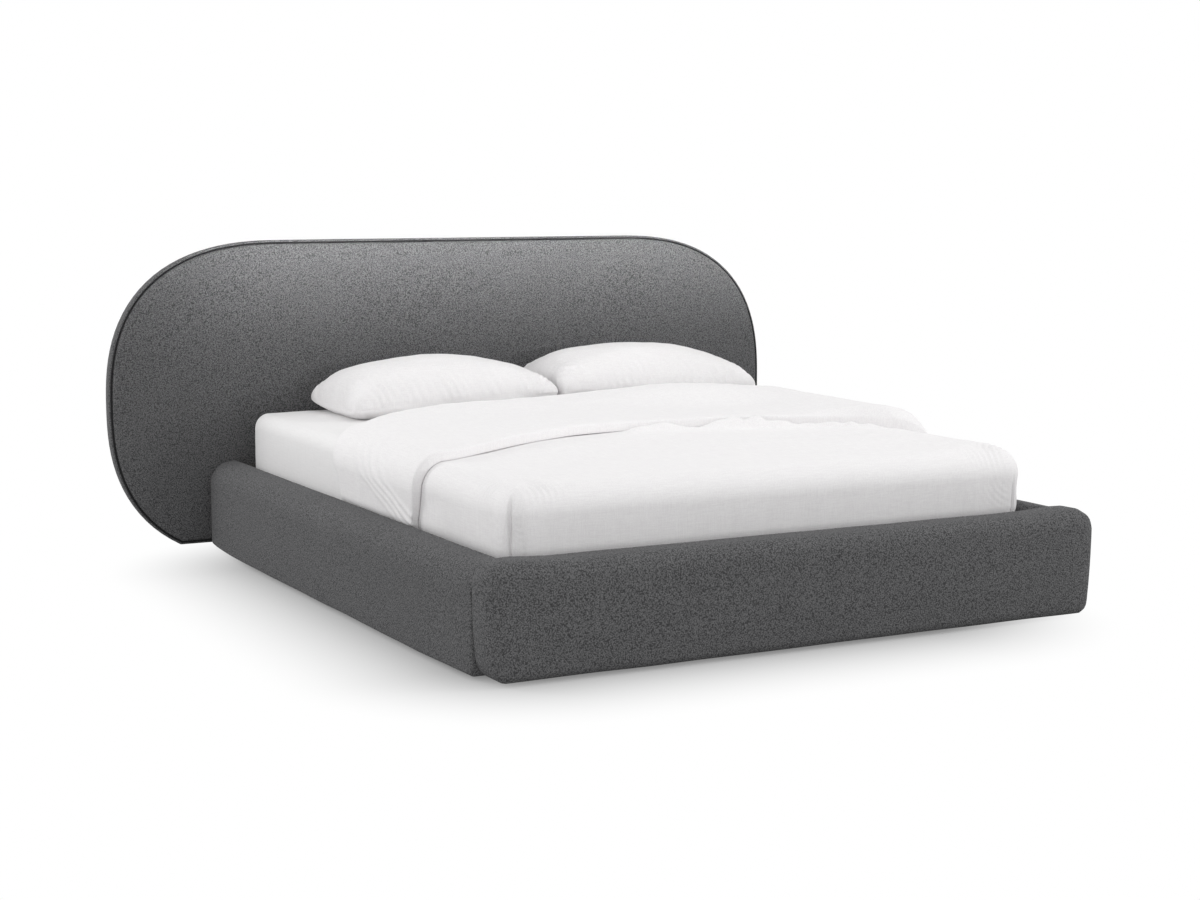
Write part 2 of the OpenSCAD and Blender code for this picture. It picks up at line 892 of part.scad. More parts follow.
// Side view of a slat in X and Z
module slat_outline() {
    shares = [for (k = [0:slat_steps]) k / slat_steps];
    span = slat_out_x - slat_in_x;
    polygon(concat(
        [for (s = shares) [slat_in_x + s * span, slat_end_z + slat_arch(s)]],
        [for (s = reversed(shares)) [slat_in_x + s * span, slat_end_top + slat_arch(s)]]));
}

module right_slats() {
    color("wheat") for (y = slat_ys) along_y(y - slat_w / 2, y + slat_w / 2) slat_outline();
}

module left_slats() {
    mirror([1, 0, 0]) right_slats();
}

// Moulded holders on the tubes, each round the end of a slat
module slat_holders() {
    height = slat_end_top - tube_top;
    half = slat_w / 2 + holder_lip;
    color("black") difference() {
        for (y = slat_ys) {
            both_sides() block([side_tube_x - tube_w, y - half, tube_top],
                [side_tube_x - tube_w + holder_l, y + half, tube_top + height]);
            block([-tube_w / 2, y - half, tube_top], [tube_w / 2, y + half, tube_top + height]);
        }
        for (y = slat_ys) both_sides() block(
            [slat_in_x - fit_gap, y - slat_w / 2 - fit_gap, slat_end_z - fit_gap],
            [slat_out_x + fit_gap, y + slat_w / 2 + fit_gap, mattress_z]);
    }
}

module side_arm_bolts() {
    for (fore = spacer_fores) bar_x(side_tube_x - tube_w - bolt_head_h / 2, arm_x + arm_t,
        pivot_y - fore, spacer_z, bolt_r);
}

module arm_bolts() {
    color("silver") both_sides() {
        side_arm_bolts();
        for (fore = spacer_fores) bar_x(side_tube_x - tube_w - bolt_head_h, side_tube_x - tube_w,
            pivot_y - fore, spacer_z, bolt_head_r);
    }
}

module arm_spacers() {
    color("darkgray") both_sides() difference() {
        for (fore = spacer_fores) bar_x(side_tube_x, arm_x, pivot_y - fore, spacer_z, spacer_r);
        side_arm_bolts();
    }
}

module right_lift_arm() {
    color("slategray") difference() {
        along_x(arm_x, arm_x + arm_t) {
            translate([pivot_y, pivot_z]) circle(hub_r);
            polygon([[pivot_y + hub_r, pivot_z], [pivot_y - hub_r, pivot_z],
                [pivot_y - arm_shoulder_l, tube_top], [pivot_y - arm_l, tube_top],
                [pivot_y - arm_l, tube_z], [pivot_y + hub_r, tube_z]]);
        }
        side_arm_bolts();
        bar_x(arm_x - overrun, plate_x, pivot_y, pivot_z, pin_r + fit_gap);
    }
}

module left_lift_arm() {
    mirror([1, 0, 0]) right_lift_arm();
}

// Pivot pins, riveted to the arms and turning in the hinge plates
module pivot_pins() {
    color("silver") both_sides() {
        bar_x(arm_x - pin_head_h, inner_x - pin_end_gap, pivot_y, pivot_z, pin_r);
        bar_x(arm_x - pin_head_h, arm_x, pivot_y, pivot_z, pin_head_r);
        bar_x(arm_x + arm_t, plate_x - pin_end_gap, pivot_y, pivot_z, pin_head_r);
    }
}

module mattress_stops() {
    y = mattress_foot_y - duvet_under_gap - duvet_side_t - 2 * duvet_side_wave - stop_t;
    color("slategray") for (x = stop_xs) {
        block([x - stop_w / 2, y, tube_top], [x + stop_w / 2, y + stop_t, tube_top + stop_h]);
        block([x - stop_w / 2, y - stop_foot_l + stop_t, tube_top],
            [x + stop_w / 2, y + stop_t, tube_top + stop_t]);
    }
}

// A doubled strap that stands up from the foot tube
module pull_strap() {
    y = platform_foot_y + tube_w / 4;
    color("dimgray") block([-strap_w / 2, y, tube_top],
        [strap_w / 2, y + 2 * strap_t, tube_top + strap_rise]);
}

// Puts a strut's parts, drawn along Z from its lower eye, at their place
module strut_place() {
    translate([strut_x, strut_low_y, strut_low_z]) rotate([-strut_tilt, 0, 0]) rotate([90, 0, 0])
        children();
}

// An eye across the strut, with its neck towards the strut's middle
module strut_eye(z, bore, neck_z0, neck_z1) {
    difference() {
        union() {
            translate([-eye_w / 2, 0, z]) rotate([0, 90, 0]) cylinder(r = eye_r, h = eye_w);
            translate([0, 0, neck_z0]) cylinder(r = neck_r, h = neck_z1 - neck_z0);
        }
        translate([-eye_w / 2 - overrun, 0, z]) rotate([0, 90, 0])
            cylinder(r = bore, h = eye_w + 2 * overrun);
    }
}

module right_strut_cylinder() {
    color("black") strut_place() {
        strut_eye(0, stud_r + fit_gap, 0, cylinder_start);
        translate([0, 0, cylinder_start]) difference() {
            cylinder(r = cylinder_r, h = cylinder_l);
            translate([0, 0, cylinder_plug]) cylinder(r = cylinder_r - cylinder_wall,
                h = cylinder_l - cylinder_plug - gland_l);
            translate([0, 0, cylinder_plug]) cylinder(r = rod_r + fit_gap, h = cylinder_l);
        }
    }
}

module left_strut_cylinder() {
    mirror([1, 0, 0]) right_strut_cylinder();
}

module right_strut_rod() {
    color("silver") strut_place() {
        strut_eye(strut_l, eye_bore_r, strut_l - cylinder_start, strut_l);
        translate([0, 0, piston_d]) cylinder(r = rod_r, h = strut_l - eye_r - piston_d);
        translate([0, 0, piston_d]) cylinder(r = cylinder_r - cylinder_wall - piston_gap, h = piston_l);
    }
}

module left_strut_rod() {
    mirror([1, 0, 0]) right_strut_rod();
}

// Points of one level of the mattress, drawn in by the inset at height z
function mattress_ring(inset, z) = [for (q = [0:3]) for (k = [0:mattress_corner_steps])
    let (a = 90 * q + 90 * k / mattress_corner_steps,
        r = mattress_corner_r - inset,
        sx = (q == 0 || q == 3) ? 1 : -1,
        sy = (q < 2) ? 1 : -1)
    [sx * (mattress_w / 2 - mattress_corner_r) + r * cos(a),
        (mattress_foot_y + mattress_head_y) / 2
            + sy * (mattress_l / 2 - mattress_corner_r) + r * sin(a), z]];

// Skin over a stack of rings with as many points each, closed at both ends
module ring_stack(rings) {
    n = len(rings[0]);
    m = len(rings);
    side = [for (j = [0:m - 2]) for (k = [0:n - 1])
        let (a = j * n + k, b = j * n + (k + 1) % n, c = b + n, d = a + n)
        each [[a, b, c], [a, c, d]]];
    caps = [for (k = [1:n - 2]) each [[0, k + 1, k], [(m - 1) * n, (m - 1) * n + k, (m - 1) * n + k + 1]]];
    faces = [for (f = concat(side, caps)) [f[0], f[2], f[1]]];
    polyhedron(points = [for (ring = rings) each ring], faces = faces);
}

module mattress() {
    r = mattress_edge_r;
    turns = [for (k = [0:edge_steps]) 90 * k / edge_steps];
    color("whitesmoke") ring_stack(concat(
        [for (a = turns) mattress_ring(r * (1 - sin(a)), mattress_z + r * (1 - cos(a)))],
        [mattress_ring(mattress_waist, mattress_z + mattress_h / 2)],
        [for (a = reversed(turns)) mattress_ring(r * (1 - sin(a)), mattress_top - r * (1 - cos(a)))]));
}

// Skin over an upper and a lower grid of points, n by m, closed round the rim
module grid_shell(upper, lower, n, m) {
    base = n * m;
    function at(i, j) = i * m + j;
    top = [for (i = [0:n - 2]) for (j = [0:m - 2])
        each [[at(i, j), at(i + 1, j), at(i + 1, j + 1)], [at(i, j), at(i + 1, j + 1), at(i, j + 1)]]];
    under = [for (f = top) [base + f[0], base + f[2], base + f[1]]];
    rim = concat([for (i = [0:n - 2]) [at(i, 0), at(i + 1, 0)]],
        [for (j = [0:m - 2]) [at(n - 1, j), at(n - 1, j + 1)]],
        [for (i = [n - 1:-1:1]) [at(i, m - 1), at(i - 1, m - 1)]],
        [for (j = [m - 1:-1:1]) [at(0, j), at(0, j - 1)]]);
    edge = [for (e = rim) each [[e[0], base + e[0], base + e[1]], [e[0], base + e[1], e[1]]]];
    faces = [for (f = concat(top, under, edge)) [f[0], f[2], f[1]]];
    polyhedron(points = concat(upper, lower), faces = faces);
}

// How far a point of the duvet lies past the flat top, along the cloth, by its row
function past_edge(k, steps, r, drop) = k <= 0 ? 0
    : k <= steps ? r * PI / 2 * k / steps
    : r * PI / 2 + drop * (k - steps) / duvet_drop_n;

// Lays a point on a box with rounded edges, dx and dy past the edges of its top
function draped(x, y, dx, dy, r, top_z) =
    let (d = max(dx, dy), n = max(norm([dx, dy]), fit_gap),
        turn = min(90, d / r * 180 / PI),
        h = r * sin(turn),
        v = d < r * PI / 2 ? r * (1 - cos(turn)) : r + d - r * PI / 2)
    [x + sign(x) * h * dx / n, y - h * dy / n, top_z - v];

function rear_edge_y(x) = head_y - duvet_rear_side
    + duvet_rear_bow * cos(90 * min(1, abs(x) / (mattress_w / 2)));

function band_edge_y(x) = rear_edge_y(x) - band_side_l
    + (band_side_l - band_mid_l) * cos(90 * min(1, abs(x) / (mattress_w / 2)));

// The grid of one face of the duvet: over is its height above the mattress,
// out its distance from the sides, and fold what the turned-back band adds
function duvet_grid(over, out, r, fold, wave) =
    let (half = mattress_w / 2 + out - r,
        foot = mattress_foot_y - out + r,
        cols = duvet_top_n / 2 + edge_steps + duvet_drop_n,
        rows = duvet_band_n + 1 + duvet_low_n + edge_steps + duvet_drop_n)
    [for (i = [-cols:cols]) for (j = [0:rows])
        let (x = sign(i) * half * min(1, abs(i) / (duvet_top_n / 2)),
            on_band = j <= duvet_band_n,
            rear = rear_edge_y(x),
            front = band_edge_y(x),
            low_j = min(duvet_low_n, j - duvet_band_n - 1),
            y = on_band ? rear + (front - rear) * j / duvet_band_n
                : front - duvet_step + (foot - front + duvet_step) * low_j / duvet_low_n,
            top_z = mattress_top + over + (on_band ? fold : 0)
                + wave * sin(360 * y / duvet_wave_l) * cos(360 * x / duvet_wave_l),
            drop = top_z - r - duvet_hem_z,
            dx = past_edge(abs(i) - duvet_top_n / 2, edge_steps, r, drop),
            dy = past_edge(j - duvet_band_n - 1 - duvet_low_n, edge_steps, r, drop),
            p = draped(x, y, dx, dy, r, top_z),
            push = wave / duvet_wave * duvet_side_wave * sin(360 * y / duvet_wave_l))
        [p[0] + (dx > r ? sign(x) * push : 0), p[1], p[2]]];

module duvet() {
    cols = duvet_top_n / 2 + edge_steps + duvet_drop_n;
    rows = duvet_band_n + 1 + duvet_low_n + edge_steps + duvet_drop_n;
    color("white") grid_shell(
        duvet_grid(duvet_t, duvet_under_gap + duvet_side_t, mattress_edge_r + duvet_edge_give,
            duvet_fold_h, duvet_wave),
        duvet_grid(seat_gap, duvet_under_gap, mattress_edge_r - duvet_edge_give, 0, 0),
        2 * cols + 1, rows + 1);
}

// How full a pillow is at shares u and v of its half width and half depth
function pillow_fill(u, v) = pow(max(0, (1 - pow(abs(u), pillow_power))
    * (1 - pow(abs(v), pillow_power))), pillow_round_share);

// One face of a pillow, whose rim draws in between its corners
function pillow_grid(side) = [for (i = [0:pillow_n]) for (j = [0:pillow_m])
    let (u = sin(90 * (2 * i / pillow_n - 1)), v = sin(90 * (2 * j / pillow_m - 1)),
        x = pillow_w / 2 * u * (1 - pillow_pull_share * (1 - v * v)),
        y = pillow_d / 2 * v * (1 - pillow_pull_share * (1 - u * u)),
        under_h = pillow_under_share * pillow_h,
        over_h = pillow_h - under_h - pillow_seam_t,
        fill = pillow_fill(u, v),
        z = side > 0 ? under_h + pillow_seam_t + over_h * fill
            : under_h * (1 - min(1, pillow_flat_share * fill)))
    [x, y, z]];

module right_pillow() {
    color("white") translate([pillow_shift + pillow_gap / 2 + pillow_w / 2,
        head_y - pillow_back_gap - pillow_d / 2, mattress_top + seat_gap])
        grid_shell(pillow_grid(1), pillow_grid(-1), pillow_n + 1, pillow_m + 1);
}

module left_pillow() {
    translate([2 * pillow_shift, 0, 0]) mirror([1, 0, 0]) right_pillow();
}

module left_rail_boards() {
    mirror([1, 0, 0]) rail_boards();
}

module left_rail_blocks() {
    mirror([1, 0, 0]) rail_blocks();
}

module left_rail_foam() {
    mirror([1, 0, 0]) rail_foam();
}

module left_rail_cover() {
    mirror([1, 0, 0]) rail_cover();
}

module right_rail_boards() {
    rail_boards();
}

module right_rail_blocks() {
    rail_blocks();
}

module right_rail_foam() {
    rail_foam();
}

module right_rail_cover() {
    rail_cover();
}

headboard_panel();
headboard_battens();
headboard_foam();
headboard_cover();
headboard_piping();
headboard_back_lining();
left_rail_boards();
left_rail_blocks();
left_rail_foam();
left_rail_cover();
right_rail_boards();
right_rail_blocks();
right_rail_foam();
right_rail_cover();
foot_boards();
foot_blocks();
foot_foam();
foot_cover();
head_crossboard();
corner_brackets();
frame_bolts();
glides();
floor_battens();
left_floor_panel();
right_floor_panel();
left_ledge();
right_ledge();
foot_ledge();
ledge_screws();
rest_pads();
left_hinge_plate();
right_hinge_plate();
hinge_screws();
lower_studs();
left_side_tube();
right_side_tube();
head_tube();
foot_tube();
centre_tube();
left_slats();
right_slats();
slat_holders();
left_lift_arm();
right_lift_arm();
arm_spacers();
arm_bolts();
pivot_pins();
upper_studs();
mattress_stops();
pull_strap();
left_strut_cylinder();
right_strut_cylinder();
left_strut_rod();
right_strut_rod();
mattress();
duvet();
left_pillow();
right_pillow();
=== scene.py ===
# %% [markdown]
# # An upholstered storage bed
#
# The bed comes as a finished CAD frame: boards, steel, hinges, struts and plain stand-ins for
# everything soft. This lesson puts the soft pieces over that frame: fabric covers, a mattress
# in its sheet, a duvet that is turned back once and two pillows. It then gives each hard
# piece the finish of its real material. All lengths are in metres, as in the frame.

# %% Load the frame
from math import cos, pi, radians, sin

import bmesh
import bpy
import numpy as np
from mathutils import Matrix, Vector, noise


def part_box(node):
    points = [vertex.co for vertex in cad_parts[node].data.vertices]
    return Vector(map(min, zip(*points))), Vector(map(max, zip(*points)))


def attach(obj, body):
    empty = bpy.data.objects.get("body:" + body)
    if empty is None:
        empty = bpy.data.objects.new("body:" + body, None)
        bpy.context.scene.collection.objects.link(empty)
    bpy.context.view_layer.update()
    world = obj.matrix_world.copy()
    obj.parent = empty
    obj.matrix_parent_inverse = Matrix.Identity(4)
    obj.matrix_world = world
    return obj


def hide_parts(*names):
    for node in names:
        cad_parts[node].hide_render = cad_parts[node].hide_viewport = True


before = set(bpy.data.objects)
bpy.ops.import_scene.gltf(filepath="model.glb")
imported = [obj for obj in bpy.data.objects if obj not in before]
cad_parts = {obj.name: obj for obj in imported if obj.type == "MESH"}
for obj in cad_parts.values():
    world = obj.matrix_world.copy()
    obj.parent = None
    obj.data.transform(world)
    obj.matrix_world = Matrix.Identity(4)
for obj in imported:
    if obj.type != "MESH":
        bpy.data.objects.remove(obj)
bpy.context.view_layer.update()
MM = 0.001

# %% [markdown]
# ## The camera
#
# A camera could be placed by eye until the picture looks right. Here it was worked out: with
# the mattress taken as 1.6 by 2.0 m, only one place and one focal length make the straight
# edges of the base and the headboard fall where the photograph has them.

# %% Place the camera
IMAGE_W = 1200
FOCAL_PX = 2072.6
SENSOR_MM = 36
CAMERA_AT = (-2.984, -5.588, 1.214)
LOOK_DOWN = radians(7.367)
LOOK_ROUND = radians(-27.923)

camera_data = bpy.data.cameras.new("photo_camera")
camera_data.sensor_width = SENSOR_MM
camera_data.lens = FOCAL_PX * SENSOR_MM / IMAGE_W
camera = bpy.data.objects.new("photo_camera", camera_data)
camera.location = CAMERA_AT
camera.rotation_euler = (pi / 2 - LOOK_DOWN, 0, LOOK_ROUND)
bpy.context.scene.collection.objects.link(camera)
bpy.context.scene.camera = camera
bpy.context.scene.view_settings.view_transform = "Standard"
print("lens", round(camera_data.lens, 2), "mm")

# %% [markdown]
# ## Small helpers for modelling
#
# An operator in Blender acts on whatever is selected, so the first helper leaves one object
# selected. The second picks faces, edges or corners by where they are, which takes the place
# of clicking on them. The third slices a mesh into strips, so that it can bend.

# %% Select, pick and slice
def only(piece):
    bpy.ops.object.select_all(action="DESELECT")
    piece.select_set(True)
    bpy.context.view_layer.objects.active = piece


def pick(kind, test):
    bpy.ops.mesh.select_mode(type=kind)
    bpy.ops.mesh.select_all(action="DESELECT")
    mesh = bmesh.from_edit_mesh(bpy.context.object.data)
    parts = {"VERT": mesh.verts, "EDGE": mesh.edges, "FACE": mesh.faces}[kind]
    for part in parts:
        corners = [part] if kind == "VERT" else part.verts
        middle = sum((v.co for v in corners), Vector()) / len(corners)
        if test(middle, part):
            part.select_set(True)
    mesh.select_flush_mode()
    bmesh.update_edit_mesh(bpy.context.object.data)


def slice_up(axis, places):
    normal = [float(k == axis) for k in range(3)]
    for place in places:
        bpy.ops.mesh.select_all(action="SELECT")
        bpy.ops.mesh.bisect(plane_co=[place * n for n in normal], plane_no=normal)


def spread(low, high, pitch):
    return np.linspace(low, high, max(2, round((high - low) / pitch)) + 1)[1:-1]


# %% [markdown]
# Most pieces start as a block of the right size. The next helpers add one, open and close
# edit mode, and copy a piece, each copy with a mesh of its own. A mirrored copy comes out
# inside out, so its normals are worked out again as edit mode closes.

# %% Start from a block, and finish a piece
def block(name, low, high):
    bpy.ops.object.select_all(action="DESELECT")
    bpy.ops.mesh.primitive_cube_add(size=1, location=(Vector(low) + Vector(high)) / 2,
                                    scale=Vector(high) - Vector(low))
    piece = bpy.context.object
    piece.name = piece.data.name = name
    bpy.ops.object.transform_apply(location=True, rotation=True, scale=True)
    return piece


def edit(piece):
    only(piece)
    bpy.ops.object.mode_set(mode="EDIT")


def close_edit():
    bpy.ops.mesh.select_all(action="SELECT")
    bpy.ops.mesh.normals_make_consistent(inside=False)
    bpy.ops.object.mode_set(mode="OBJECT")


def copy_of(piece, name):
    twin = piece.copy()
    twin.data = piece.data.copy()
    twin.name = twin.data.name = name
    bpy.context.scene.collection.objects.link(twin)
    return twin


def mirror_of(piece, name):
    twin = copy_of(piece, name)
    edit(twin)
    bpy.ops.mesh.select_all(action="SELECT")
    bpy.ops.transform.resize(value=(-1, 1, 1), center_override=(0, 0, 0))
    close_edit()
    return twin


# %% [markdown]
# Foam under fabric is never quite flat. A gentle unevenness, a millimetre or so high and a
# hand wide, takes away the look of a machined block. It is drawn with smooth noise, which is
# the same each time.

# %% Make padding a little uneven
def uneven(piece, height, wave, seed):
    shift = Vector((seed * 7.3, seed * 3.1, seed * 5.7))
    mesh = piece.data
    moves = [v.normal * height * noise.noise(v.co / wave + shift) for v in mesh.vertices]
    for vertex, move in zip(mesh.vertices, moves):
        vertex.co += move
    mesh.update()


def smooth(piece, angle=60):
    only(piece)
    bpy.ops.object.shade_smooth_by_angle(angle=radians(angle))


# %% [markdown]
# ## Materials
#
# Each finish is a small network of nodes. One function adds a node with its settings and
# links: a pair of a node and the name of its output becomes a link, and anything else is set
# as it is. Another turns the hex colours that a paint or fabric chart gives into the linear
# values that the shader wants.

# %% Colours and nodes
def linear(hex_colour):
    parts = [int(hex_colour[k:k + 2], 16) / 255 for k in (1, 3, 5)]
    return [c / 12.92 if c <= 0.04045 else ((c + 0.055) / 1.055) ** 2.4 for c in parts] + [1]


def add(material, kind, settings=(), **inputs):
    node = material.node_tree.nodes.new(kind)
    for key, value in dict(settings).items():
        setattr(node, key, value)
    for key, value in inputs.items():
        socket = node.inputs[int(key[1:]) if key[1:].isdigit() else key.replace("_", " ")]
        if isinstance(value, tuple):
            material.node_tree.links.new(value[0].outputs[value[1]], socket)
        else:
            socket.default_value = value
    return node


def new_material(name):
    material = bpy.data.materials.new(name)
    material.use_nodes = True
    material.node_tree.nodes.clear()
    return material


def finish_material(material, bump=None, **inputs):
    if bump:
        height, strength, distance = bump
        lumps = add(material, "ShaderNodeBump", Height=height, Strength=strength,
                    Distance=distance)
        inputs["Normal"] = (lumps, "Normal")
    shader = add(material, "ShaderNodeBsdfPrincipled", **inputs)
    add(material, "ShaderNodeOutputMaterial", Surface=(shader, "BSDF"))
    return material


# %% [markdown]
# ### Boucle upholstery
#
# The cover is a wool-blend boucle: short loops of yarn, about 3 mm across, that stand up from
# the cloth in no order. A cell pattern gives the loops, a fine noise breaks them up, and both
# go into the colour: the hollows between the loops are painted darker, as painted shade where
# the loops shade each other. The fibres catch light at a glancing angle, which the sheen
# gives. In the picture such a loop is about one pixel wide, so it is drawn a little coarser
# than it is.

# %% Boucle
LOOP = 3.7 * MM


def boucle(name, light, dark):
    m = new_material(name)
    place = add(m, "ShaderNodeTexCoord")
    loops = add(m, "ShaderNodeTexVoronoi", {"feature": "SMOOTH_F1"},
                Vector=(place, "Object"), Scale=1 / LOOP, Smoothness=0.25)
    fuzz = add(m, "ShaderNodeTexNoise", Vector=(place, "Object"), Scale=0.9 / LOOP,
               Detail=2.0)
    height = add(m, "ShaderNodeMath", {"operation": "SUBTRACT"},
                 _0=(fuzz, "Fac"), _1=(loops, "Distance"))
    # Painted shade: the colour darkens in the hollows between the loops.
    shade = add(m, "ShaderNodeMapRange", Value=(height, "Value"),
                **{"From_Min": -0.3, "From_Max": 0.35})
    nap = add(m, "ShaderNodeTexNoise", Vector=(place, "Object"), Scale=6.0, Detail=2.0)
    tint = add(m, "ShaderNodeMix", {"data_type": "RGBA"}, _0=(shade, "Result"),
               _6=linear(dark), _7=linear(light))
    worn = add(m, "ShaderNodeMapRange", Value=(nap, "Fac"),
               **{"To_Min": 0.95, "To_Max": 1.05})
    colour = add(m, "ShaderNodeVectorMath", {"operation": "SCALE"},
                 _0=(tint, "Result"), Scale=(worn, "Result"))
    return finish_material(
        m, bump=((height, "Value"), 0.8, 1.3 * MM), Base_Color=(colour, "Vector"),
        Roughness=0.95, Specular_IOR_Level=0.15, Sheen_Weight=0.14, Sheen_Roughness=0.5,
        Sheen_Tint=linear("#a8a8aa"))


boucle_grey = boucle("boucle_grey", "#727273", "#3e3e3f")
# The welt's cloth is painted near black: painted shade for the seam it lies in.
painted_shade_welt_cloth = boucle("boucle_painted_shade_welt", "#2f2f30", "#1c1c1d")
print("boucle loops of", LOOP / MM, "mm")

# %% [markdown]
# ### White linen and cotton
#
# The duvet cover and pillowcases are washed linen: plain weave, with thicker places in the
# yarn, called slubs, that run along the threads. A thread is under half a millimetre, too
# fine for the picture, so the slubs are drawn instead, as noise that is stretched along each
# thread direction. The sheet on the mattress is smoother cotton. White cloth lets a little
# light through, so its shadows are soft, and its roughness is high.

# %% Linen and cotton
SLUB_W = 2.4 * MM
SLUB_L = 45 * MM


def white_cloth(name, light, shade, depth):
    m = new_material(name)
    place = add(m, "ShaderNodeTexCoord")
    threads = []
    for stretched in (0, 1, 2):
        size = [1 / (SLUB_L if k == stretched else SLUB_W) for k in range(3)]
        scaled = add(m, "ShaderNodeVectorMath", {"operation": "MULTIPLY"},
                     _0=(place, "Object"), _1=size)
        threads.append(add(m, "ShaderNodeTexNoise", Vector=(scaled, "Vector"), Scale=1.0,
                           Detail=2.0))
    weave = add(m, "ShaderNodeMath", {"operation": "ADD"},
                _0=(threads[0], "Fac"), _1=(threads[1], "Fac"))
    weave = add(m, "ShaderNodeMath", {"operation": "ADD"},
                _0=(weave, "Value"), _1=(threads[2], "Fac"))
    level = add(m, "ShaderNodeMapRange", Value=(weave, "Value"),
                **{"From_Min": 1.2, "From_Max": 1.8})
    tint = add(m, "ShaderNodeMix", {"data_type": "RGBA"}, _0=(level, "Result"),
               _6=linear(shade), _7=linear(light))
    return finish_material(
        m, bump=((weave, "Value"), depth, 0.3 * MM), Base_Color=(tint, "Result"),
        Roughness=0.95, Specular_IOR_Level=0.12, Sheen_Weight=0.1, Sheen_Roughness=0.5)


duvet_linen = white_cloth("washed_linen_duvet_cover", "#f4f3f3", "#ebe9ea", 0.35)
pillow_linen = white_cloth("washed_linen_pillowcase", "#eae9e9", "#e1dfe0", 0.35)
sheet_cotton = white_cloth("cotton_fitted_sheet", "#f1f0f0", "#ebeaea", 0.2)
print("slubs", SLUB_W / MM, "by", SLUB_L / MM, "mm")

# %% [markdown]
# ### Timber and boards
#
# Sawn timber and veneer show grain: long streaks, darker where the summer wood is cut. Noise
# that is stretched along the board gives it. The same network serves pine, plywood, beech
# and, with short flakes in place of streaks, chipboard. Only the colours, the direction and
# the sizes change. The three lengths in each line are the grain's size along x, y and z.

# %% Wood
def wood(name, light, dark, grain, roughness=0.6, coat=0.0):
    m = new_material(name)
    place = add(m, "ShaderNodeTexCoord")
    scaled = add(m, "ShaderNodeVectorMath", {"operation": "MULTIPLY"},
                 _0=(place, "Object"), _1=[1 / g for g in grain])
    streaks = add(m, "ShaderNodeTexNoise", Vector=(scaled, "Vector"), Scale=1.0, Detail=4.0,
                  Distortion=0.6)
    level = add(m, "ShaderNodeMapRange", Value=(streaks, "Fac"),
                **{"From_Min": 0.35, "From_Max": 0.65})
    tint = add(m, "ShaderNodeMix", {"data_type": "RGBA"}, _0=(level, "Result"),
               _6=linear(dark), _7=linear(light))
    return finish_material(
        m, bump=((streaks, "Fac"), 0.3, 0.3 * MM), Base_Color=(tint, "Result"),
        Roughness=roughness, Coat_Weight=coat)


pine_x = wood("planed_pine_across", "#d9b98c", "#b98f5c", (0.35, 6 * MM, 6 * MM))
pine_z = wood("planed_pine_upright", "#d9b98c", "#b98f5c", (6 * MM, 6 * MM, 0.3))
birch_ply = wood("birch_plywood", "#d3b78f", "#bb9a6c", (0.4, 3 * MM, 18 * MM))
rail_ply = wood("birch_plywood_lengthwise", "#d3b78f", "#bb9a6c", (3 * MM, 0.4, 18 * MM))
chip = wood("chipboard", "#c9ab80", "#9c7b52", (5 * MM, 5 * MM, 3 * MM), 0.75)
hdf = wood("lacquered_hardboard", "#d8cfbe", "#cabfa9", (9 * MM, 9 * MM, 9 * MM), 0.45)
beech = wood("laminated_beech", "#dcb98d", "#c79c6a", (0.25, 2.5 * MM, 4 * MM), 0.4, 0.3)
print("woods:", [m.name for m in (pine_x, pine_z, birch_ply, rail_ply, chip, hdf, beech)])

# %% [markdown]
# ### Steel
#
# Zinc plating shows a fine crystal pattern and dull grey reflections. Powder coating is a
# baked paint with a slight orange peel. The strut's tube is gloss black, and its rod is
# hard chrome, which is nearly a mirror. All four are one colour with a fine grain in it, so
# one function makes them, and also the moulded blacks after them.

# %% Metals
def grained(name, colour, other, grit, roughness, metallic, bump_depth, coat=0.0):
    m = new_material(name)
    place = add(m, "ShaderNodeTexCoord")
    cells = add(m, "ShaderNodeTexNoise", Vector=(place, "Object"), Scale=1 / grit, Detail=3.0)
    tint = add(m, "ShaderNodeMix", {"data_type": "RGBA"}, _0=(cells, "Fac"),
               _6=linear(colour), _7=linear(other))
    rough = add(m, "ShaderNodeMapRange", Value=(cells, "Fac"),
                **{"To_Min": roughness * 0.8, "To_Max": roughness * 1.2})
    return finish_material(
        m, bump=((cells, "Fac"), bump_depth, 0.1 * MM), Base_Color=(tint, "Result"),
        Roughness=(rough, "Result"), Metallic=metallic, Coat_Weight=coat)


zinc = grained("zinc_plated_steel", "#b9bcc0", "#9fa3a8", 8 * MM, 0.38, 1.0, 0.1)
powder = grained("powder_coated_steel", "#2c2d2f", "#232426", 1.2 * MM, 0.5, 0.0, 0.4)
strut_black = grained("gloss_black_enamel", "#101011", "#161617", 20 * MM, 0.2, 0.0, 0.05, 0.5)
chrome = grained("hard_chrome", "#d5d7da", "#c9ccd0", 30 * MM, 0.08, 1.0, 0.02)
print("metals:", [m.name for m in (zinc, powder, strut_black, chrome)])

# %% [markdown]
# ### Rubber, nylon, webbing and lining
#
# Rubber pads and moulded nylon are nearly black and matt, with the grain of their moulds.
# The lining on the back is non-woven cloth, whose fibres are bonded by small pressed dots in
# rows. The pull strap is ribbed webbing.

# %% Moulded and woven blacks
rubber = grained("moulded_rubber", "#1c1c1d", "#141415", 1.5 * MM, 0.8, 0.0, 0.5)
nylon = grained("moulded_nylon", "#222223", "#1a1a1b", 0.9 * MM, 0.55, 0.0, 0.4)

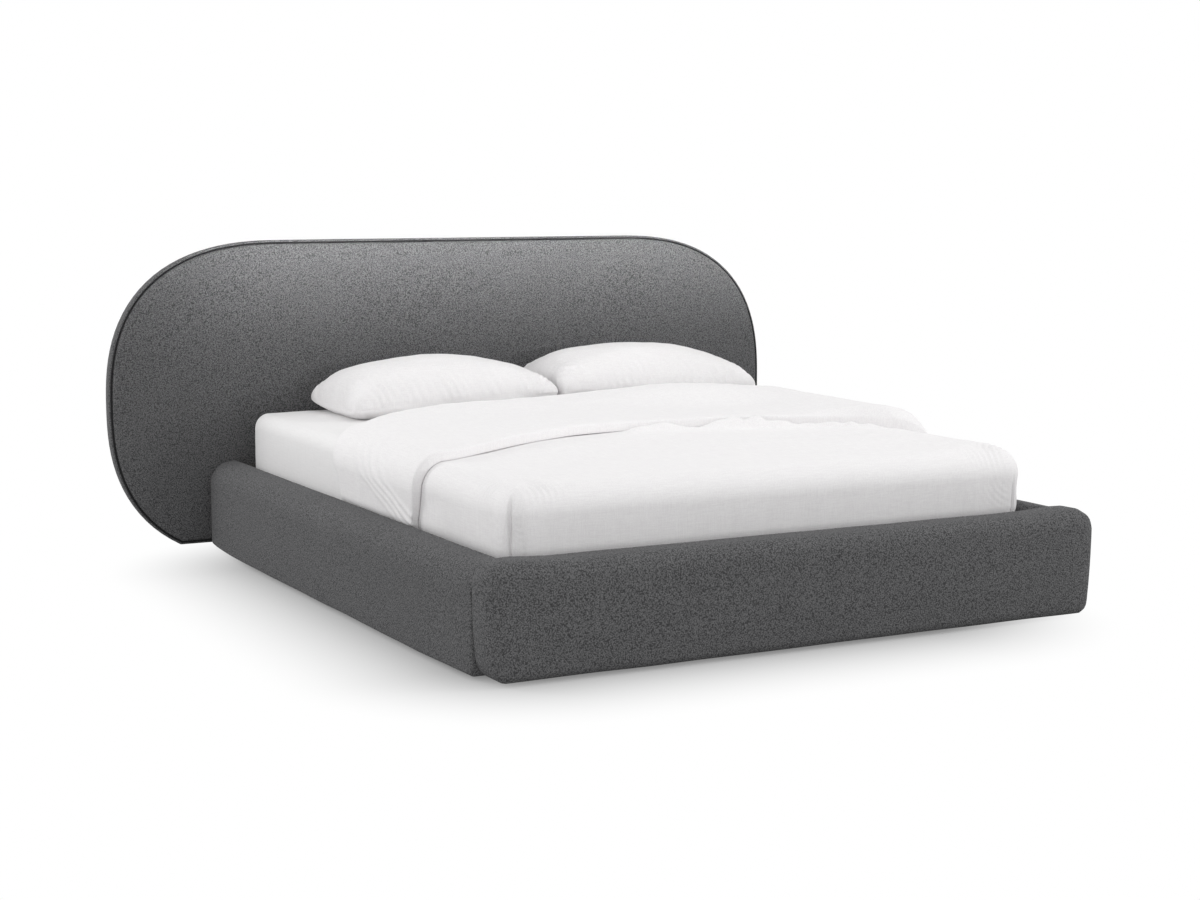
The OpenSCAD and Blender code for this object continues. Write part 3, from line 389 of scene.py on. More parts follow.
DOT_PITCH = 4 * MM
lining_cloth = new_material("non_woven_lining")
place = add(lining_cloth, "ShaderNodeTexCoord")
dots = add(lining_cloth, "ShaderNodeTexVoronoi", Vector=(place, "Object"), Scale=1 / DOT_PITCH,
           Randomness=0.15)
fibres = add(lining_cloth, "ShaderNodeTexNoise", Vector=(place, "Object"), Scale=900.0,
             Detail=3.0)
tint = add(lining_cloth, "ShaderNodeMix", {"data_type": "RGBA"}, _0=(fibres, "Fac"),
           _6=linear("#1d1d1e"), _7=linear("#333334"))
finish_material(lining_cloth, bump=((dots, "Distance"), 0.5, 0.4 * MM),
                Base_Color=(tint, "Result"), Roughness=0.9, Specular_IOR_Level=0.2)

RIB = 2.2 * MM
webbing = new_material("ribbed_webbing")
place = add(webbing, "ShaderNodeTexCoord")
ribs = add(webbing, "ShaderNodeTexWave", {"bands_direction": "Z"}, Vector=(place, "Object"),
           Scale=1 / (20 * RIB), Distortion=0.4)
tint = add(webbing, "ShaderNodeMix", {"data_type": "RGBA"}, _0=(ribs, "Fac"),
           _6=linear("#2a2a2c"), _7=linear("#48484b"))
finish_material(webbing, bump=((ribs, "Fac"), 0.7, 0.6 * MM), Base_Color=(tint, "Result"),
                Roughness=0.8)
print("lining dots every", DOT_PITCH / MM, "mm, webbing ribs every", RIB / MM, "mm")

# %% [markdown]
# ## The hard pieces keep their CAD shape
#
# Boards, steel and fittings are already exact, so they only get their finish. Each name
# below is a CAD node.

# %% Finish the hard pieces
FINISHES = [
    (birch_ply, ["headboard_panel"]),
    (rail_ply, ["left_rail_boards", "right_rail_boards"]),
    (birch_ply, ["foot_boards"]),
    (pine_x, ["headboard_battens", "floor_battens"]),
    (pine_z, ["left_rail_blocks", "right_rail_blocks", "foot_blocks"]),
    (chip, ["head_crossboard"]),
    (hdf, ["left_floor_panel", "right_floor_panel"]),
    (beech, ["left_slats", "right_slats"]),
    (zinc, ["corner_brackets", "frame_bolts", "left_ledge", "right_ledge", "foot_ledge",
            "ledge_screws", "hinge_screws", "lower_studs", "upper_studs", "arm_spacers",
            "arm_bolts", "pivot_pins"]),
    (powder, ["left_hinge_plate", "right_hinge_plate", "left_side_tube", "right_side_tube",
              "head_tube", "foot_tube", "centre_tube", "left_lift_arm", "right_lift_arm",
              "mattress_stops"]),
    (strut_black, ["left_strut_cylinder", "right_strut_cylinder"]),
    (chrome, ["left_strut_rod", "right_strut_rod"]),
    (rubber, ["rest_pads"]),
    (nylon, ["glides", "slat_holders"]),
]
for finish, names in FINISHES:
    for name in names:
        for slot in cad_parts[name].material_slots:
            slot.material = finish
print("finished", sum(len(names) for _, names in FINISHES), "hard pieces")


def dress(piece, material, body, slot, *nodes):
    piece.data.materials.clear()
    piece.data.materials.append(material)
    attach(piece, body)
    if nodes:
        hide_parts(*nodes)
    faces = len(piece.data.polygons)
    print(piece.name, "rides on", body, "with", faces, "faces")


# %% [markdown]
# ## The side rails
#
# A side rail is a hollow board box with foam on its outside and top, and a cover pulled
# tight over it. It could be drawn as a section and extruded. Here it starts as a block whose
# long edges are rounded, which is quick and keeps the foot end flat where it meets the foot
# panel. The edges of that end roll in, which makes the dark seam line beside the panel. The
# last 55 mm at the head end are sliced closely, because they are turned in further on.

# %% Shape one rail
OUTER_TOP_R = 60 * MM
INNER_TOP_R = 26 * MM
OUTER_LOW_R = 12 * MM
HEAD_ROLL = 55 * MM
END_ROLL = 7 * MM
EDGE_SEGMENTS = 8

rail_low, rail_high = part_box("right_rail_cover")
rail = block("right_rail_upholstery", rail_low, rail_high)
edit(rail)
for x, z, radius in ((rail_high.x, rail_high.z, OUTER_TOP_R),
                     (rail_low.x, rail_high.z, INNER_TOP_R),
                     (rail_high.x, rail_low.z, OUTER_LOW_R)):
    pick("EDGE", lambda mid, _: abs(mid.x - x) < MM and abs(mid.z - z) < MM)
    bpy.ops.mesh.bevel(offset=radius, segments=EDGE_SEGMENTS, affect="EDGES")
pick("EDGE", lambda mid, _: min(abs(mid.y - rail_low.y), abs(mid.y - rail_high.y)) < MM)
bpy.ops.mesh.bevel(offset=END_ROLL, segments=3, affect="EDGES")
slice_up(1, spread(rail_low.y + END_ROLL, rail_high.y - HEAD_ROLL, 45 * MM))
slice_up(1, spread(rail_high.y - HEAD_ROLL, rail_high.y - END_ROLL, 4 * MM))
slice_up(2, spread(rail_low.z, rail_high.z, 40 * MM))
close_edit()
print("rail block with", len(rail.data.polygons), "faces")

# %% [markdown]
# Foam that is held down at its edges bulges between them. A modifier could push the faces
# out evenly, but the bulge belongs in the middle, so each point is moved by where it lies:
# outwards by up to 10 mm along the middle, upwards by 7 mm towards the inner edge of the
# top, and inwards round the head end, as along a quarter circle. The left rail is the
# mirrored right one, with its own unevenness. The top of the right one is then filled up by
# another 9 mm towards the mattress, as the photograph shows it.

# %% Bulge the rail outwards and mirror it
RAIL_BULGE = 10 * MM
HEAD_DRAW = 13 * MM
RAIL_CROWN = 7 * MM
RIGHT_FULLER = 9 * MM

half_l = (rail_high.y - rail_low.y) / 2
for vertex in rail.data.vertices:
    share = (vertex.co.x - rail_low.x) / (rail_high.x - rail_low.x)
    along = (vertex.co.y - rail_low.y) / half_l - 1
    to_end = max(0, min(1, (vertex.co.y - rail_high.y + HEAD_ROLL) / HEAD_ROLL))
    draw = HEAD_ROLL * (1 - (1 - to_end ** 2) ** 0.5) + HEAD_DRAW * max(0, along) ** 8
    vertex.co.x += share * (RAIL_BULGE * (1 - abs(along) ** 6) - draw)
    up = 2 * (vertex.co.z - rail_low.z) / (rail_high.z - rail_low.z) - 1
    vertex.co.z += RAIL_CROWN * max(0, up) ** 2 * (1 - share ** 2) - 0.5 * up * share * draw
uneven(rail, 1.2 * MM, 160 * MM, 1)
smooth(rail)
left_rail = mirror_of(rail, "left_rail_upholstery")
uneven(left_rail, 0.8 * MM, 210 * MM, 2)
for vertex in rail.data.vertices:
    share = (vertex.co.x - rail_low.x) / (rail_high.x - rail_low.x)
    up = 2 * (vertex.co.z - rail_low.z) / (rail_high.z - rail_low.z) - 1
    vertex.co.z += RIGHT_FULLER * max(0, up) ** 2 * max(0, 1 - share ** 2)
for piece, side in ((rail, "right"), (left_rail, "left")):
    smooth(piece)
    dress(piece, boucle_grey, "base", "upholstery", f"{side}_rail_cover", f"{side}_rail_foam")

# %% [markdown]
# ## The foot panel
#
# The foot panel runs across both rails and is a little higher. All its edges are soft: wide
# curves round its two ends and along its front, and narrow ones at its back. An edge can be
# given its own share of a bevel's width, so one bevel modifier rounds every edge by its own
# radius.

# %% Shape the foot panel
FOOT_ROUND = 84 * MM
foot_low, foot_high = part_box("foot_cover")
foot = block("foot_upholstery", foot_low, foot_high)
edit(foot)


def near(a, b):
    return abs(a - b) < MM


ROUNDED = [
    (50 * MM, lambda m: near(abs(m.x), foot_high.x) and near(m.y, foot_low.y)),
    (9 * MM, lambda m: near(abs(m.x), foot_high.x) and near(m.y, foot_high.y)),
    (48 * MM, lambda m: near(m.z, foot_high.z) and near(m.y, foot_low.y)),
    (56 * MM, lambda m: near(m.z, foot_high.z) and near(abs(m.x), foot_high.x)),
    (14 * MM, lambda m: near(m.z, foot_high.z) and near(m.y, foot_high.y)),
    (60 * MM, lambda m: near(m.z, foot_low.z) and near(abs(m.x), foot_high.x)),
    (24 * MM, lambda m: near(m.z, foot_low.z) and near(m.y, foot_low.y)),
]
for radius, test in ROUNDED:
    pick("EDGE", lambda mid, _: test(mid))
    bpy.ops.transform.edge_bevelweight(value=radius / FOOT_ROUND)
bpy.ops.object.mode_set(mode="OBJECT")
rounding = foot.modifiers.new("rounding", "BEVEL")
rounding.limit_method = "WEIGHT"
rounding.width = FOOT_ROUND
rounding.segments = EDGE_SEGMENTS
bpy.ops.object.modifier_apply(modifier=rounding.name)
print("foot panel with", len(foot.data.polygons), "faces")

# %% [markdown]
# The panel's front is crowned by 5 mm like a cushion, and its two ends draw in towards the
# floor. Just inside each round end the top rises by 6 mm, where the cover is folded under
# at the corner and is thicker.

# %% Crown the foot panel
FOOT_CROWN = 5 * MM
FRONT_DEEP = 20 * MM
END_TAPER = 16 * MM
TAPER_FROM = 0.22
END_HUMP = 6 * MM
END_HUMP_X = 0.855
HUMP_W = 70 * MM
edit(foot)
slice_up(0, spread(foot_low.x, foot_high.x, 50 * MM))
slice_up(2, spread(foot_low.z, foot_high.z, 42 * MM))
close_edit()
for vertex in foot.data.vertices:
    if vertex.co.y < foot_low.y + FRONT_DEEP:
        across = vertex.co.x / foot_high.x
        up = 2 * (vertex.co.z - foot_low.z) / (foot_high.z - foot_low.z) - 1
        vertex.co.y -= FOOT_CROWN * (1 - across ** 6) * (1 - up ** 2)
    if vertex.co.z > foot_high.z - HUMP_W:
        hump = np.exp(-((abs(vertex.co.x) - END_HUMP_X) / HUMP_W) ** 2)
        vertex.co.z += END_HUMP * hump * (vertex.co.z - foot_high.z + HUMP_W) / HUMP_W
    outer = max(0, abs(vertex.co.x) / foot_high.x - 0.8) / 0.2
    below = max(0, TAPER_FROM - vertex.co.z) / TAPER_FROM
    vertex.co.x -= END_TAPER * outer * below ** 2.2 * (1 if vertex.co.x > 0 else -1)
uneven(foot, 1.6 * MM, 170 * MM, 3)
smooth(foot)
dress(foot, boucle_grey, "base", "upholstery", "foot_cover", "foot_foam")

# %% [markdown]
# ## The headboard
#
# The headboard's outline is a rectangle with very large corners that are a bit squarer than
# an ellipse. A bevel on the corners of a plane can draw exactly that, because its profile
# value sets how square the curve is. At the bottom the outline is cut off straight. It is
# then inset step by step, with a small depth each time, which lays the foam's round edge and
# the slight crown of the front.

# %% Draw the outline
HEAD_CORNER_W = 0.6
HEAD_MID_Z = 0.4794
CORNER_PROFILE = 0.574
CORNER_STEPS = 28
head_low, head_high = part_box("headboard_piping")
head_w = head_high.x - head_low.x
corner_h = head_high.z - HEAD_MID_Z


def head_outline(name, y):
    bpy.ops.object.select_all(action="DESELECT")
    bpy.ops.mesh.primitive_plane_add(size=1, location=(0, y, HEAD_MID_Z),
                                     rotation=(pi / 2, 0, 0))
    piece = bpy.context.object
    piece.name = piece.data.name = name
    bpy.ops.transform.resize(value=(head_w, 1, 2 * HEAD_CORNER_W))
    bpy.ops.object.transform_apply(location=True, rotation=True, scale=True)
    edit(piece)
    bpy.ops.mesh.select_all(action="SELECT")
    bpy.ops.mesh.bevel(offset=HEAD_CORNER_W, profile=CORNER_PROFILE, segments=CORNER_STEPS,
                       affect="VERTICES")
    bpy.ops.mesh.select_all(action="SELECT")
    bpy.ops.mesh.remove_doubles(threshold=0.5 * MM)
    bpy.ops.transform.resize(value=(1, 1, corner_h / HEAD_CORNER_W),
                             center_override=(0, y, HEAD_MID_Z))
    bpy.ops.mesh.bisect(plane_co=(0, y, head_low.z), plane_no=(0, 0, 1), clear_inner=True)
    pick("VERT", lambda mid, _: 0.1 * MM < mid.z - head_low.z < 12 * MM)
    bpy.ops.mesh.dissolve_verts()
    return piece


print("headboard", round(head_w, 3), "m wide, its corners", round(corner_h, 3), "m high")

# %% [markdown]
# Each step below is an inset and a depth, in millimetres. The edge steps run from the widest
# line forwards to the seam. The front steps start there with a narrow groove, in which the
# welt sits, and then run over the foam's round edge to the nearly flat middle.

# %% Pad the front and the side band
SEAM_Y = head_low.y
FRONT_STEPS = [(2.6, -2), (1, 5), (3, 5), (8, 3.5), (14, 2.8), (22, 2), (30, 1.2), (35, 0.5)]
EDGE_STEPS = [(1, 0), (3, 1), (4, 2), (1, 3), (0.5, 9.5)]
BACK_STEPS = [(0.5, 14), (1.5, 13), (3, 9), (5, 5.5), (8, 2.5)]
widest_y = SEAM_Y + sum(depth for _, depth in EDGE_STEPS) * MM

head = head_outline("headboard_upholstery", widest_y)
pick("FACE", lambda mid, _: True)
for thickness, depth in reversed(EDGE_STEPS):
    bpy.ops.mesh.inset(thickness=thickness * MM, depth=depth * MM)
for thickness, depth in FRONT_STEPS:
    bpy.ops.mesh.inset(thickness=thickness * MM, depth=depth * MM)
slice_up(0, spread(head_low.x, head_high.x, 70 * MM))
slice_up(2, spread(head_low.z, head_high.z, 70 * MM))
close_edit()
print("seam", round((widest_y - SEAM_Y) / MM, 1), "mm in front of the widest line")

# %% [markdown]
# The back half is the outline once more, turned round so that its steps go backwards. The
# two halves are joined, and the points on their common line are merged.

# %% Close the headboard behind
behind = head_outline("headboard_behind", widest_y)
bpy.ops.mesh.select_all(action="SELECT")
bpy.ops.mesh.flip_normals()
pick("FACE", lambda mid, _: True)
for thickness, depth in BACK_STEPS:
    bpy.ops.mesh.inset(thickness=thickness * MM, depth=depth * MM)
bpy.ops.object.mode_set(mode="OBJECT")
bpy.ops.object.select_all(action="DESELECT")
behind.select_set(True)
head.select_set(True)
bpy.context.view_layer.objects.active = head
bpy.ops.object.join()
edit(head)
bpy.ops.mesh.select_all(action="SELECT")
bpy.ops.mesh.remove_doubles(threshold=0.1 * MM)
close_edit()
print("headboard from y", round(min(v.co.y for v in head.data.vertices), 4), "to",
      round(max(v.co.y for v in head.data.vertices), 4))

# %% [markdown]
# A welt, a cord covered with the same cloth, is sewn into the seam between the front and the
# side band. The seam's edges are copied out of the headboard's mesh and given a round
# section, so the welt follows the seam exactly. It lies in the shade of the seam, and its
# cloth is painted much darker than the cloth beside it, as painted shade along the seam. The
# unevenness of the padding comes after it, and the back is pressed flat again, because the
# lining lies on it.

# %% Sew the welt into the seam
WELT_R = 2.6 * MM
edit(head)
pick("EDGE", lambda mid, edge: all(abs(v.co.y - SEAM_Y) < 0.05 * MM for v in edge.verts))
bpy.ops.mesh.duplicate()
bpy.ops.mesh.separate(type="SELECTED")
bpy.ops.object.mode_set(mode="OBJECT")
welt = next(o for o in bpy.context.selected_objects if o != head)
welt.name = welt.data.name = "headboard_welt"
only(welt)
bpy.ops.object.convert(target="CURVE")
welt = bpy.context.object
welt.data.bevel_depth = WELT_R
welt.data.bevel_resolution = 2
bpy.ops.object.convert(target="MESH")
welt = bpy.context.object
print("welt with", len(welt.data.polygons), "faces")
uneven(head, 1.2 * MM, 260 * MM, 4)
flat_back = widest_y + sum(depth for _, depth in BACK_STEPS) * MM
for vertex in head.data.vertices:
    vertex.co.y = min(vertex.co.y, flat_back)
smooth(head)
smooth(welt)
dress(head, boucle_grey, "base", "upholstery", "headboard_cover", "headboard_foam")
# The welt's darker cloth is painted shade along the seam.
dress(welt, painted_shade_welt_cloth, "base", "piping", "headboard_piping")

# %% [markdown]
# ## The lining on the headboard's back
#
# The back is closed with a thin black cloth, stretched over the battens with its edge folded
# under. It is the outline once more, inset to leave a border, with a thin wall.

# %% Stretch the back lining
LINING_BORDER = 17 * MM
LINING_T = 1 * MM
HEM_W = 10 * MM
_, lining_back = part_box("headboard_back_lining")
lining = head_outline("headboard_back_cloth", lining_back.y - LINING_T)
bpy.ops.mesh.select_all(action="SELECT")
bpy.ops.mesh.flip_normals()
pick("FACE", lambda mid, _: True)
bpy.ops.mesh.inset(thickness=LINING_BORDER)
bpy.ops.mesh.select_all(action="INVERT")
bpy.ops.mesh.delete(type="FACE")
bpy.ops.mesh.select_all(action="SELECT")
bpy.ops.mesh.inset(thickness=HEM_W)
bpy.ops.mesh.inset(thickness=0.6 * MM, depth=-0.4 * MM)
bpy.ops.object.mode_set(mode="OBJECT")
wall = lining.modifiers.new("wall", "SOLIDIFY")
wall.thickness = LINING_T
wall.offset = -1
bpy.ops.object.modifier_apply(modifier=wall.name)
edit(lining)
close_edit()
dress(lining, lining_cloth, "base", "lining", "headboard_back_lining")

# %% [markdown]
# ## The mattress in its sheet
#
# A sprung or foam mattress in a fitted sheet is a block with round corners and soft edges,
# drawn in a little at its waist. It starts as a block too. Its upright corners are rounded
# first and the rims after them, so that each rim is one unbroken curve.

# %% Shape the mattress
mat_low, mat_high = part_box("mattress")
MATTRESS_CORNER_R = 56 * MM
MATTRESS_RIM_R = 46 * MM
mattress = block("mattress_in_sheet", mat_low, mat_high)
edit(mattress)
pick("EDGE", lambda mid, _: near(abs(mid.x), mat_high.x)
     and min(abs(mid.y - mat_low.y), abs(mid.y - mat_high.y)) < MM)
bpy.ops.mesh.bevel(offset=MATTRESS_CORNER_R, segments=8, affect="EDGES")
pick("EDGE", lambda mid, edge: all(near(v.co.z, mat_high.z) for v in edge.verts)
     or all(near(v.co.z, mat_low.z) for v in edge.verts))
bpy.ops.mesh.bevel(offset=MATTRESS_RIM_R, segments=7, affect="EDGES")
slice_up(0, spread(mat_low.x + 60 * MM, mat_high.x - 60 * MM, 40 * MM))
slice_up(1, spread(mat_low.y + 60 * MM, mat_high.y - 60 * MM, 40 * MM))
slice_up(2, spread(mat_low.z + 50 * MM, mat_high.z - 50 * MM, 35 * MM))
close_edit()
print("mattress", [round(c, 3) for c in mat_high - mat_low], "m")

# %% [markdown]
# Its sides are drawn in by 3 mm at half height. The duvet presses on the foot half only, so
# the head half stands up to 13 mm higher, and its end reaches 8 mm further back.

# %% Draw in its waist
MATTRESS_WAIST = 3 * MM
MATTRESS_RISE = 13 * MM
MATTRESS_REACH = 8 * MM
RISE_OVER = 0.35

mat_mid = (mat_low + mat_high) / 2
for vertex in mattress.data.vertices:
    up = abs(vertex.co.z - mat_mid.z) / (mat_high.z - mat_mid.z)
    if up < 0.6:
        draw = MATTRESS_WAIST * (1 - (up / 0.6) ** 2)
        if near(abs(vertex.co.x), mat_high.x):
            vertex.co.x -= draw * (1 if vertex.co.x > 0 else -1)
        if near(vertex.co.y, mat_high.y) or near(vertex.co.y, mat_low.y):
            vertex.co.y -= draw * (1 if vertex.co.y > mat_mid.y else -1)
    if vertex.co.y > 0:
        head_share = min(1, vertex.co.y / RISE_OVER)
        vertex.co.z += MATTRESS_RISE * head_share * max(0, up) * (vertex.co.z > mat_mid.z)
        vertex.co.y += MATTRESS_REACH * head_share * max(0, vertex.co.y - 0.5) / 0.5
uneven(mattress, 1.5 * MM, 140 * MM, 5)
smooth(mattress)
dress(mattress, sheet_cotton, "platform", "mattress_ticking", "mattress")

# %% [markdown]
# ## The duvet, turned back once
#
# The duvet covers the foot end and hangs into the gaps beside the mattress. Near the pillows
# it folds back over itself, and its free edge lies across the bed in a curve. A cloth
# simulation could drop a flat duvet on the mattress, but it would fold where it likes. Here
# the cloth is laid by a rule: a strip of duvet is followed from its hem at the foot, over
# the top, back along the turned band and round again on its underside, which is one closed
# line. That line is repeated across the bed and bent over the mattress's rounded edges.

# %% The mattress as something to lay cloth on
BASE_R = 52 * MM
HEM_Z = 0.268
ARC_L = BASE_R * pi / 2
TOP_X = mat_high.x - BASE_R
FOOT_EDGE = mat_low.y + BASE_R
DROP_L = mat_high.z - BASE_R - HEM_Z


def lay(a, b):
    """Points and outward normals on the mattress for cloth lengths a across, b along."""
    dx = np.maximum(np.abs(a) - TOP_X, 0)
    dy = np.maximum(FOOT_EDGE - b, 0)
    far = np.maximum(dx, dy)
    size = np.maximum(np.hypot(dx, dy), 1e-9)
    turn = np.minimum(far / BASE_R, pi / 2)
    out = np.sin(turn)
    normal = np.stack([np.sign(a) * out * dx / size, -out * dy / size, np.cos(turn)], -1)
    down = np.where(far < ARC_L, BASE_R * (1 - np.cos(turn)), BASE_R + far - ARC_L)
    point = np.stack([np.sign(a) * np.minimum(np.abs(a), TOP_X), np.maximum(b, FOOT_EDGE),
                      mat_high.z - down], -1)
    point[..., 0] += BASE_R * normal[..., 0]
    point[..., 1] += BASE_R * normal[..., 1]
    return point, normal


print("cloth hangs", round((BASE_R + DROP_L) / MM), "mm below the mattress's top")

# %% [markdown]
# The lines where the duvet folds and where its free edge lies were read off the photograph
# as a few points and are joined by a smooth curve.

# %% The duvet's two lines across the bed
FREE_EDGE = [(-0.97, -0.43), (-0.8, -0.495), (-0.7, -0.455), (-0.595, -0.377), (-0.4, -0.24),
             (-0.178, -0.125), (0.0, -0.10), (0.143, -0.108), (0.33, -0.145),
             (0.493, -0.206), (0.65, -0.33), (0.786, -0.52), (0.97, -0.56)]
REAR_FOLD = [(-0.97, 0.10), (-0.86, 0.105), (-0.8, 0.14), (-0.6, 0.345), (-0.4, 0.44),
             (-0.2, 0.50), (0.0, 0.525), (0.2, 0.51), (0.4, 0.455), (0.6, 0.365),
             (0.8, 0.25), (0.97, 0.235)]


def line_at(points, a):
    xs, ys = np.array(points).T
    fine = np.linspace(xs[0], xs[-1], 400)
    ys = np.interp(fine, xs, ys)
    bell = np.exp(-np.linspace(-2, 2, 41) ** 2)
    soft = np.convolve(np.pad(ys, 20, mode="edge"), bell / bell.sum(), mode="valid")
    return np.interp(a, fine, soft)


print("free edge through", len(FREE_EDGE), "points, rear fold through", len(REAR_FOLD))

# %% [markdown]
# Wrinkles are drawn with sums of sine waves in random directions, from a fixed seed. Waves
# that are longer one way than the other give folds that run along. Taking the narrow band
# where such a sum crosses zero gives thin creases on an otherwise calm cloth.

# %% Waves and creases
def waves(u, v, length_u, length_v, seed, count=14):
    rng = np.random.RandomState(seed)
    total = 0
    for angle, phase, size in zip(rng.uniform(0, pi, count), rng.uniform(0, 2 * pi, count),
                                  rng.uniform(0.7, 1.3, count)):
        ramp = u / length_u * np.cos(angle) + v / length_v * np.sin(angle)
        total = total + np.cos(2 * pi * size * ramp + phase)
    return total / np.sqrt(count / 2) / 1.6


def creases(u, v, length_u, length_v, seed, width=0.35):
    return np.exp(-(waves(u, v, length_u, length_v, seed) / width) ** 2)


def ease(x, start, end):
    t = np.clip((x - start) / (end - start), 0, 1)
    return t * t * (3 - 2 * t)


# %% [markdown]
# The columns and rows are closest at the corners and edges, where the cloth wrinkles most,
# and further apart in the middle.

# %% Columns across the bed
FINE = 5 * MM
COARSE = 13 * MM
EDGE_ZONE = 0.14


def steps(*stops):
    """Places from the first stop to the last, each stretch with its own pitch."""
    out = [np.array([stops[0]])]
    for start, pitch, end in zip(stops[0::2], stops[1::2], stops[2::2]):
        count = max(1, round(abs(end - start) / pitch))
        out.append(np.linspace(start, end, count + 1)[1:])
    return np.concatenate(out)


side_l = TOP_X + ARC_L + DROP_L
across = steps(-side_l, FINE, -(TOP_X - EDGE_ZONE), COARSE, TOP_X - EDGE_ZONE, FINE, side_l)
foot_hem = FOOT_EDGE - ARC_L - DROP_L
print("duvet", round(2 * side_l, 3), "m wide,", len(across), "columns")

# %% [markdown]
# Turning the cloth back pushed three small folds together just in front of the free edge.
# Each line of PUSHED_FOLDS is one of them: its middle and half length across the bed, how
# far it lies in front of the edge, its width, all in metres, and its height in millimetres.
# Fine arcs run round both foot corners, and the rest of the cloth only undulates. All
# heights in the functions below are in millimetres, too.

# %% Wrinkles of the lower layer
CORNER_ARC = 18 * MM
ARC_HIGH = 2.8
PUSHED_FOLDS = [(0.12, 0.11, 0.030, 0.014, 20), (0.385, 0.125, 0.032, 0.017, 32),
                (0.62, 0.09, 0.038, 0.018, 14)]


def low_wrinkles(a, b, edge):
    top = ease(TOP_X + 0.02 - np.abs(a), 0, 0.12) * ease(b - FOOT_EDGE, -0.04, 0.1)
    lift = 2.6 * waves(a, b, 0.5, 0.42, 11) * (0.4 + 0.6 * top)
    lift += 2.4 * creases(a, b, 0.9, 0.16, 12) * top * ease(a, -0.1, 0.3)
    for middle, half, ahead, wide, high in PUSHED_FOLDS:
        along = (a - middle) / half
        ridge = np.exp(-((b - edge + ahead + 0.010 * along) / wide) ** 2)
        lift += high * np.exp(-along ** 4) * ridge * (1 + 0.25 * waves(a, b, 0.07, 0.05, 13))
    slant = b - (-0.2 + 0.4 * (a - 0.1))
    lift += 4.0 * np.exp(-(slant / 0.03) ** 2) * ease(a, -0.5, -0.3) * (1 - ease(a, 0.0, 0.15))
    lift += 2.4 * np.exp(-((b - edge + 0.09) / 0.07) ** 2) * waves(a, b, 0.16, 0.6, 14)
    for side in (-1, 1):
        du = side * a - (TOP_X + ARC_L * 0.55)
        dv = (FOOT_EDGE - ARC_L * 0.55) - b
        reach = np.hypot(du, dv)
        shape = ease(reach, 0.015, 0.04) * (1 - ease(reach, 0.09, 0.24))
        shape = shape * (0.55 + 0.45 * waves(a, b, 0.11, 0.11, 19 + side))
        wobble = 1.3 * waves(a, b, 0.16, 0.16, 15 + side)
        down = np.maximum(np.abs(a) - TOP_X, FOOT_EDGE - b)
        lying = 1 - 0.85 * ease(down, 0.2 * ARC_L, 1.1 * ARC_L)
        lift += ARC_HIGH * lying * shape * np.cos(2 * pi * reach / CORNER_ARC + wobble)
    drop = ease(FOOT_EDGE - b, 0.02, 0.12)
    lift += drop * (0.9 * waves(a, b, 0.12, 0.5, 17) + 0.25 * waves(a, b, 0.03, 0.5, 29))
    right_foot = ease(a, 0.45, 0.7) * (1 - ease(a, TOP_X, TOP_X + 0.06))
    lift += 8 * right_foot * ease(b - FOOT_EDGE, -0.03, 0.05)
    hang = ease(np.abs(a) - TOP_X, 0.02, 0.12)
    lift += hang * (1.2 * waves(b, a, 0.14, 0.5, 18) + 0.32 * waves(b, a, 0.024, 0.3, 27))
    return lift * MM


print(len(PUSHED_FOLDS), "pushed folds, arcs every", CORNER_ARC / MM, "mm")

# %% [markdown]
# The turned-back band hangs over the side of the mattress. The way its free edge bends there
# pulls four slanting folds into it, which are given by their place and height. On top it is
# calm, with a few creases that run along the rear fold.

# %% Wrinkles of the turned-back band
SLANT_FOLDS = [(-0.11, 3.6), (-0.05, 5.2), (0.005, 4.4), (0.06, 3.2)]


def band_wrinkles(a, b, edge):
    side = ease(np.abs(a) - TOP_X, -0.05, 0.08)
    lift = 3.0 * waves(a, b, 0.55, 0.45, 21) * (1 - 0.6 * side)
    lift += 1.2 * side * creases(b, a, 0.11, 0.55, 22)
    lift += 1.2 * side * waves(b, a, 0.16, 0.6, 23)
    slant = b + 2.2 * (np.abs(a) - TOP_X)
    for middle, high in SLANT_FOLDS:
        ridge = np.exp(-((slant - middle) / 0.015) ** 2)
        lift += high * side * ridge * (1 - ease(b, 0.05, 0.2))
    near_edge = np.exp(-((b - edge) / 0.12) ** 2)
    lift += 1.4 * (1 - side) * near_edge * waves(a, b, 0.35, 0.05, 24)
    rear = ease(b, 0.15, 0.4) * (1 - side)
    lift += 1.6 * rear * creases(a, b, 0.45, 0.07, 25)
    return lift * MM


print(len(SLANT_FOLDS), "slanting folds at the side")

# %% [markdown]
# Each corner at the foot has a pleat. The cloth of the side wraps round the corner, and the
# cloth of the foot end starts behind its folded edge, which leaves a thin dark slit that
# opens downwards. Its place is an angle round the corner, first the left one, then the right.

# %% The corner pleat
PLEAT_DEG = (45, 72)
PLEAT_DEEP = 12 * MM
PLEAT_W_DEG = 2.4
FLAP_HIGH = 3 * MM


def pleat(a, b):
    dx = np.maximum(np.abs(a) - TOP_X, 0)
    dy = np.maximum(FOOT_EDGE - b, 0)
    angle = np.degrees(np.arctan2(dy, dx))
    low = ease(np.minimum(dx, dy) + 0.35 * np.maximum(dx, dy), 0.035, 0.12)
    fold_at = np.where(a < 0, PLEAT_DEG[0], PLEAT_DEG[1])
    slit = np.exp(-((angle - fold_at) / PLEAT_W_DEG) ** 2)
    flap = ease(angle, fold_at - 30, fold_at - 8) * (1 - ease(angle, fold_at - 5, fold_at))
    return low * (FLAP_HIGH * flap - PLEAT_DEEP * slit)


print("pleats", PLEAT_DEEP / MM, "mm deep")

# %% [markdown]
# Thickness: the filling is full on top and pressed thin where the duvet goes down between
# the mattress and the rail. The gap there is 25 mm, so both layers together stay under 22 mm
# until they are above the rail. Towards its rear fold the band swells, because the filling
# gathers in the bend: by a few millimetres at the left and by up to 50 at the right, as the
# table says. Over the right edge of the mattress it is full as far as its free edge.

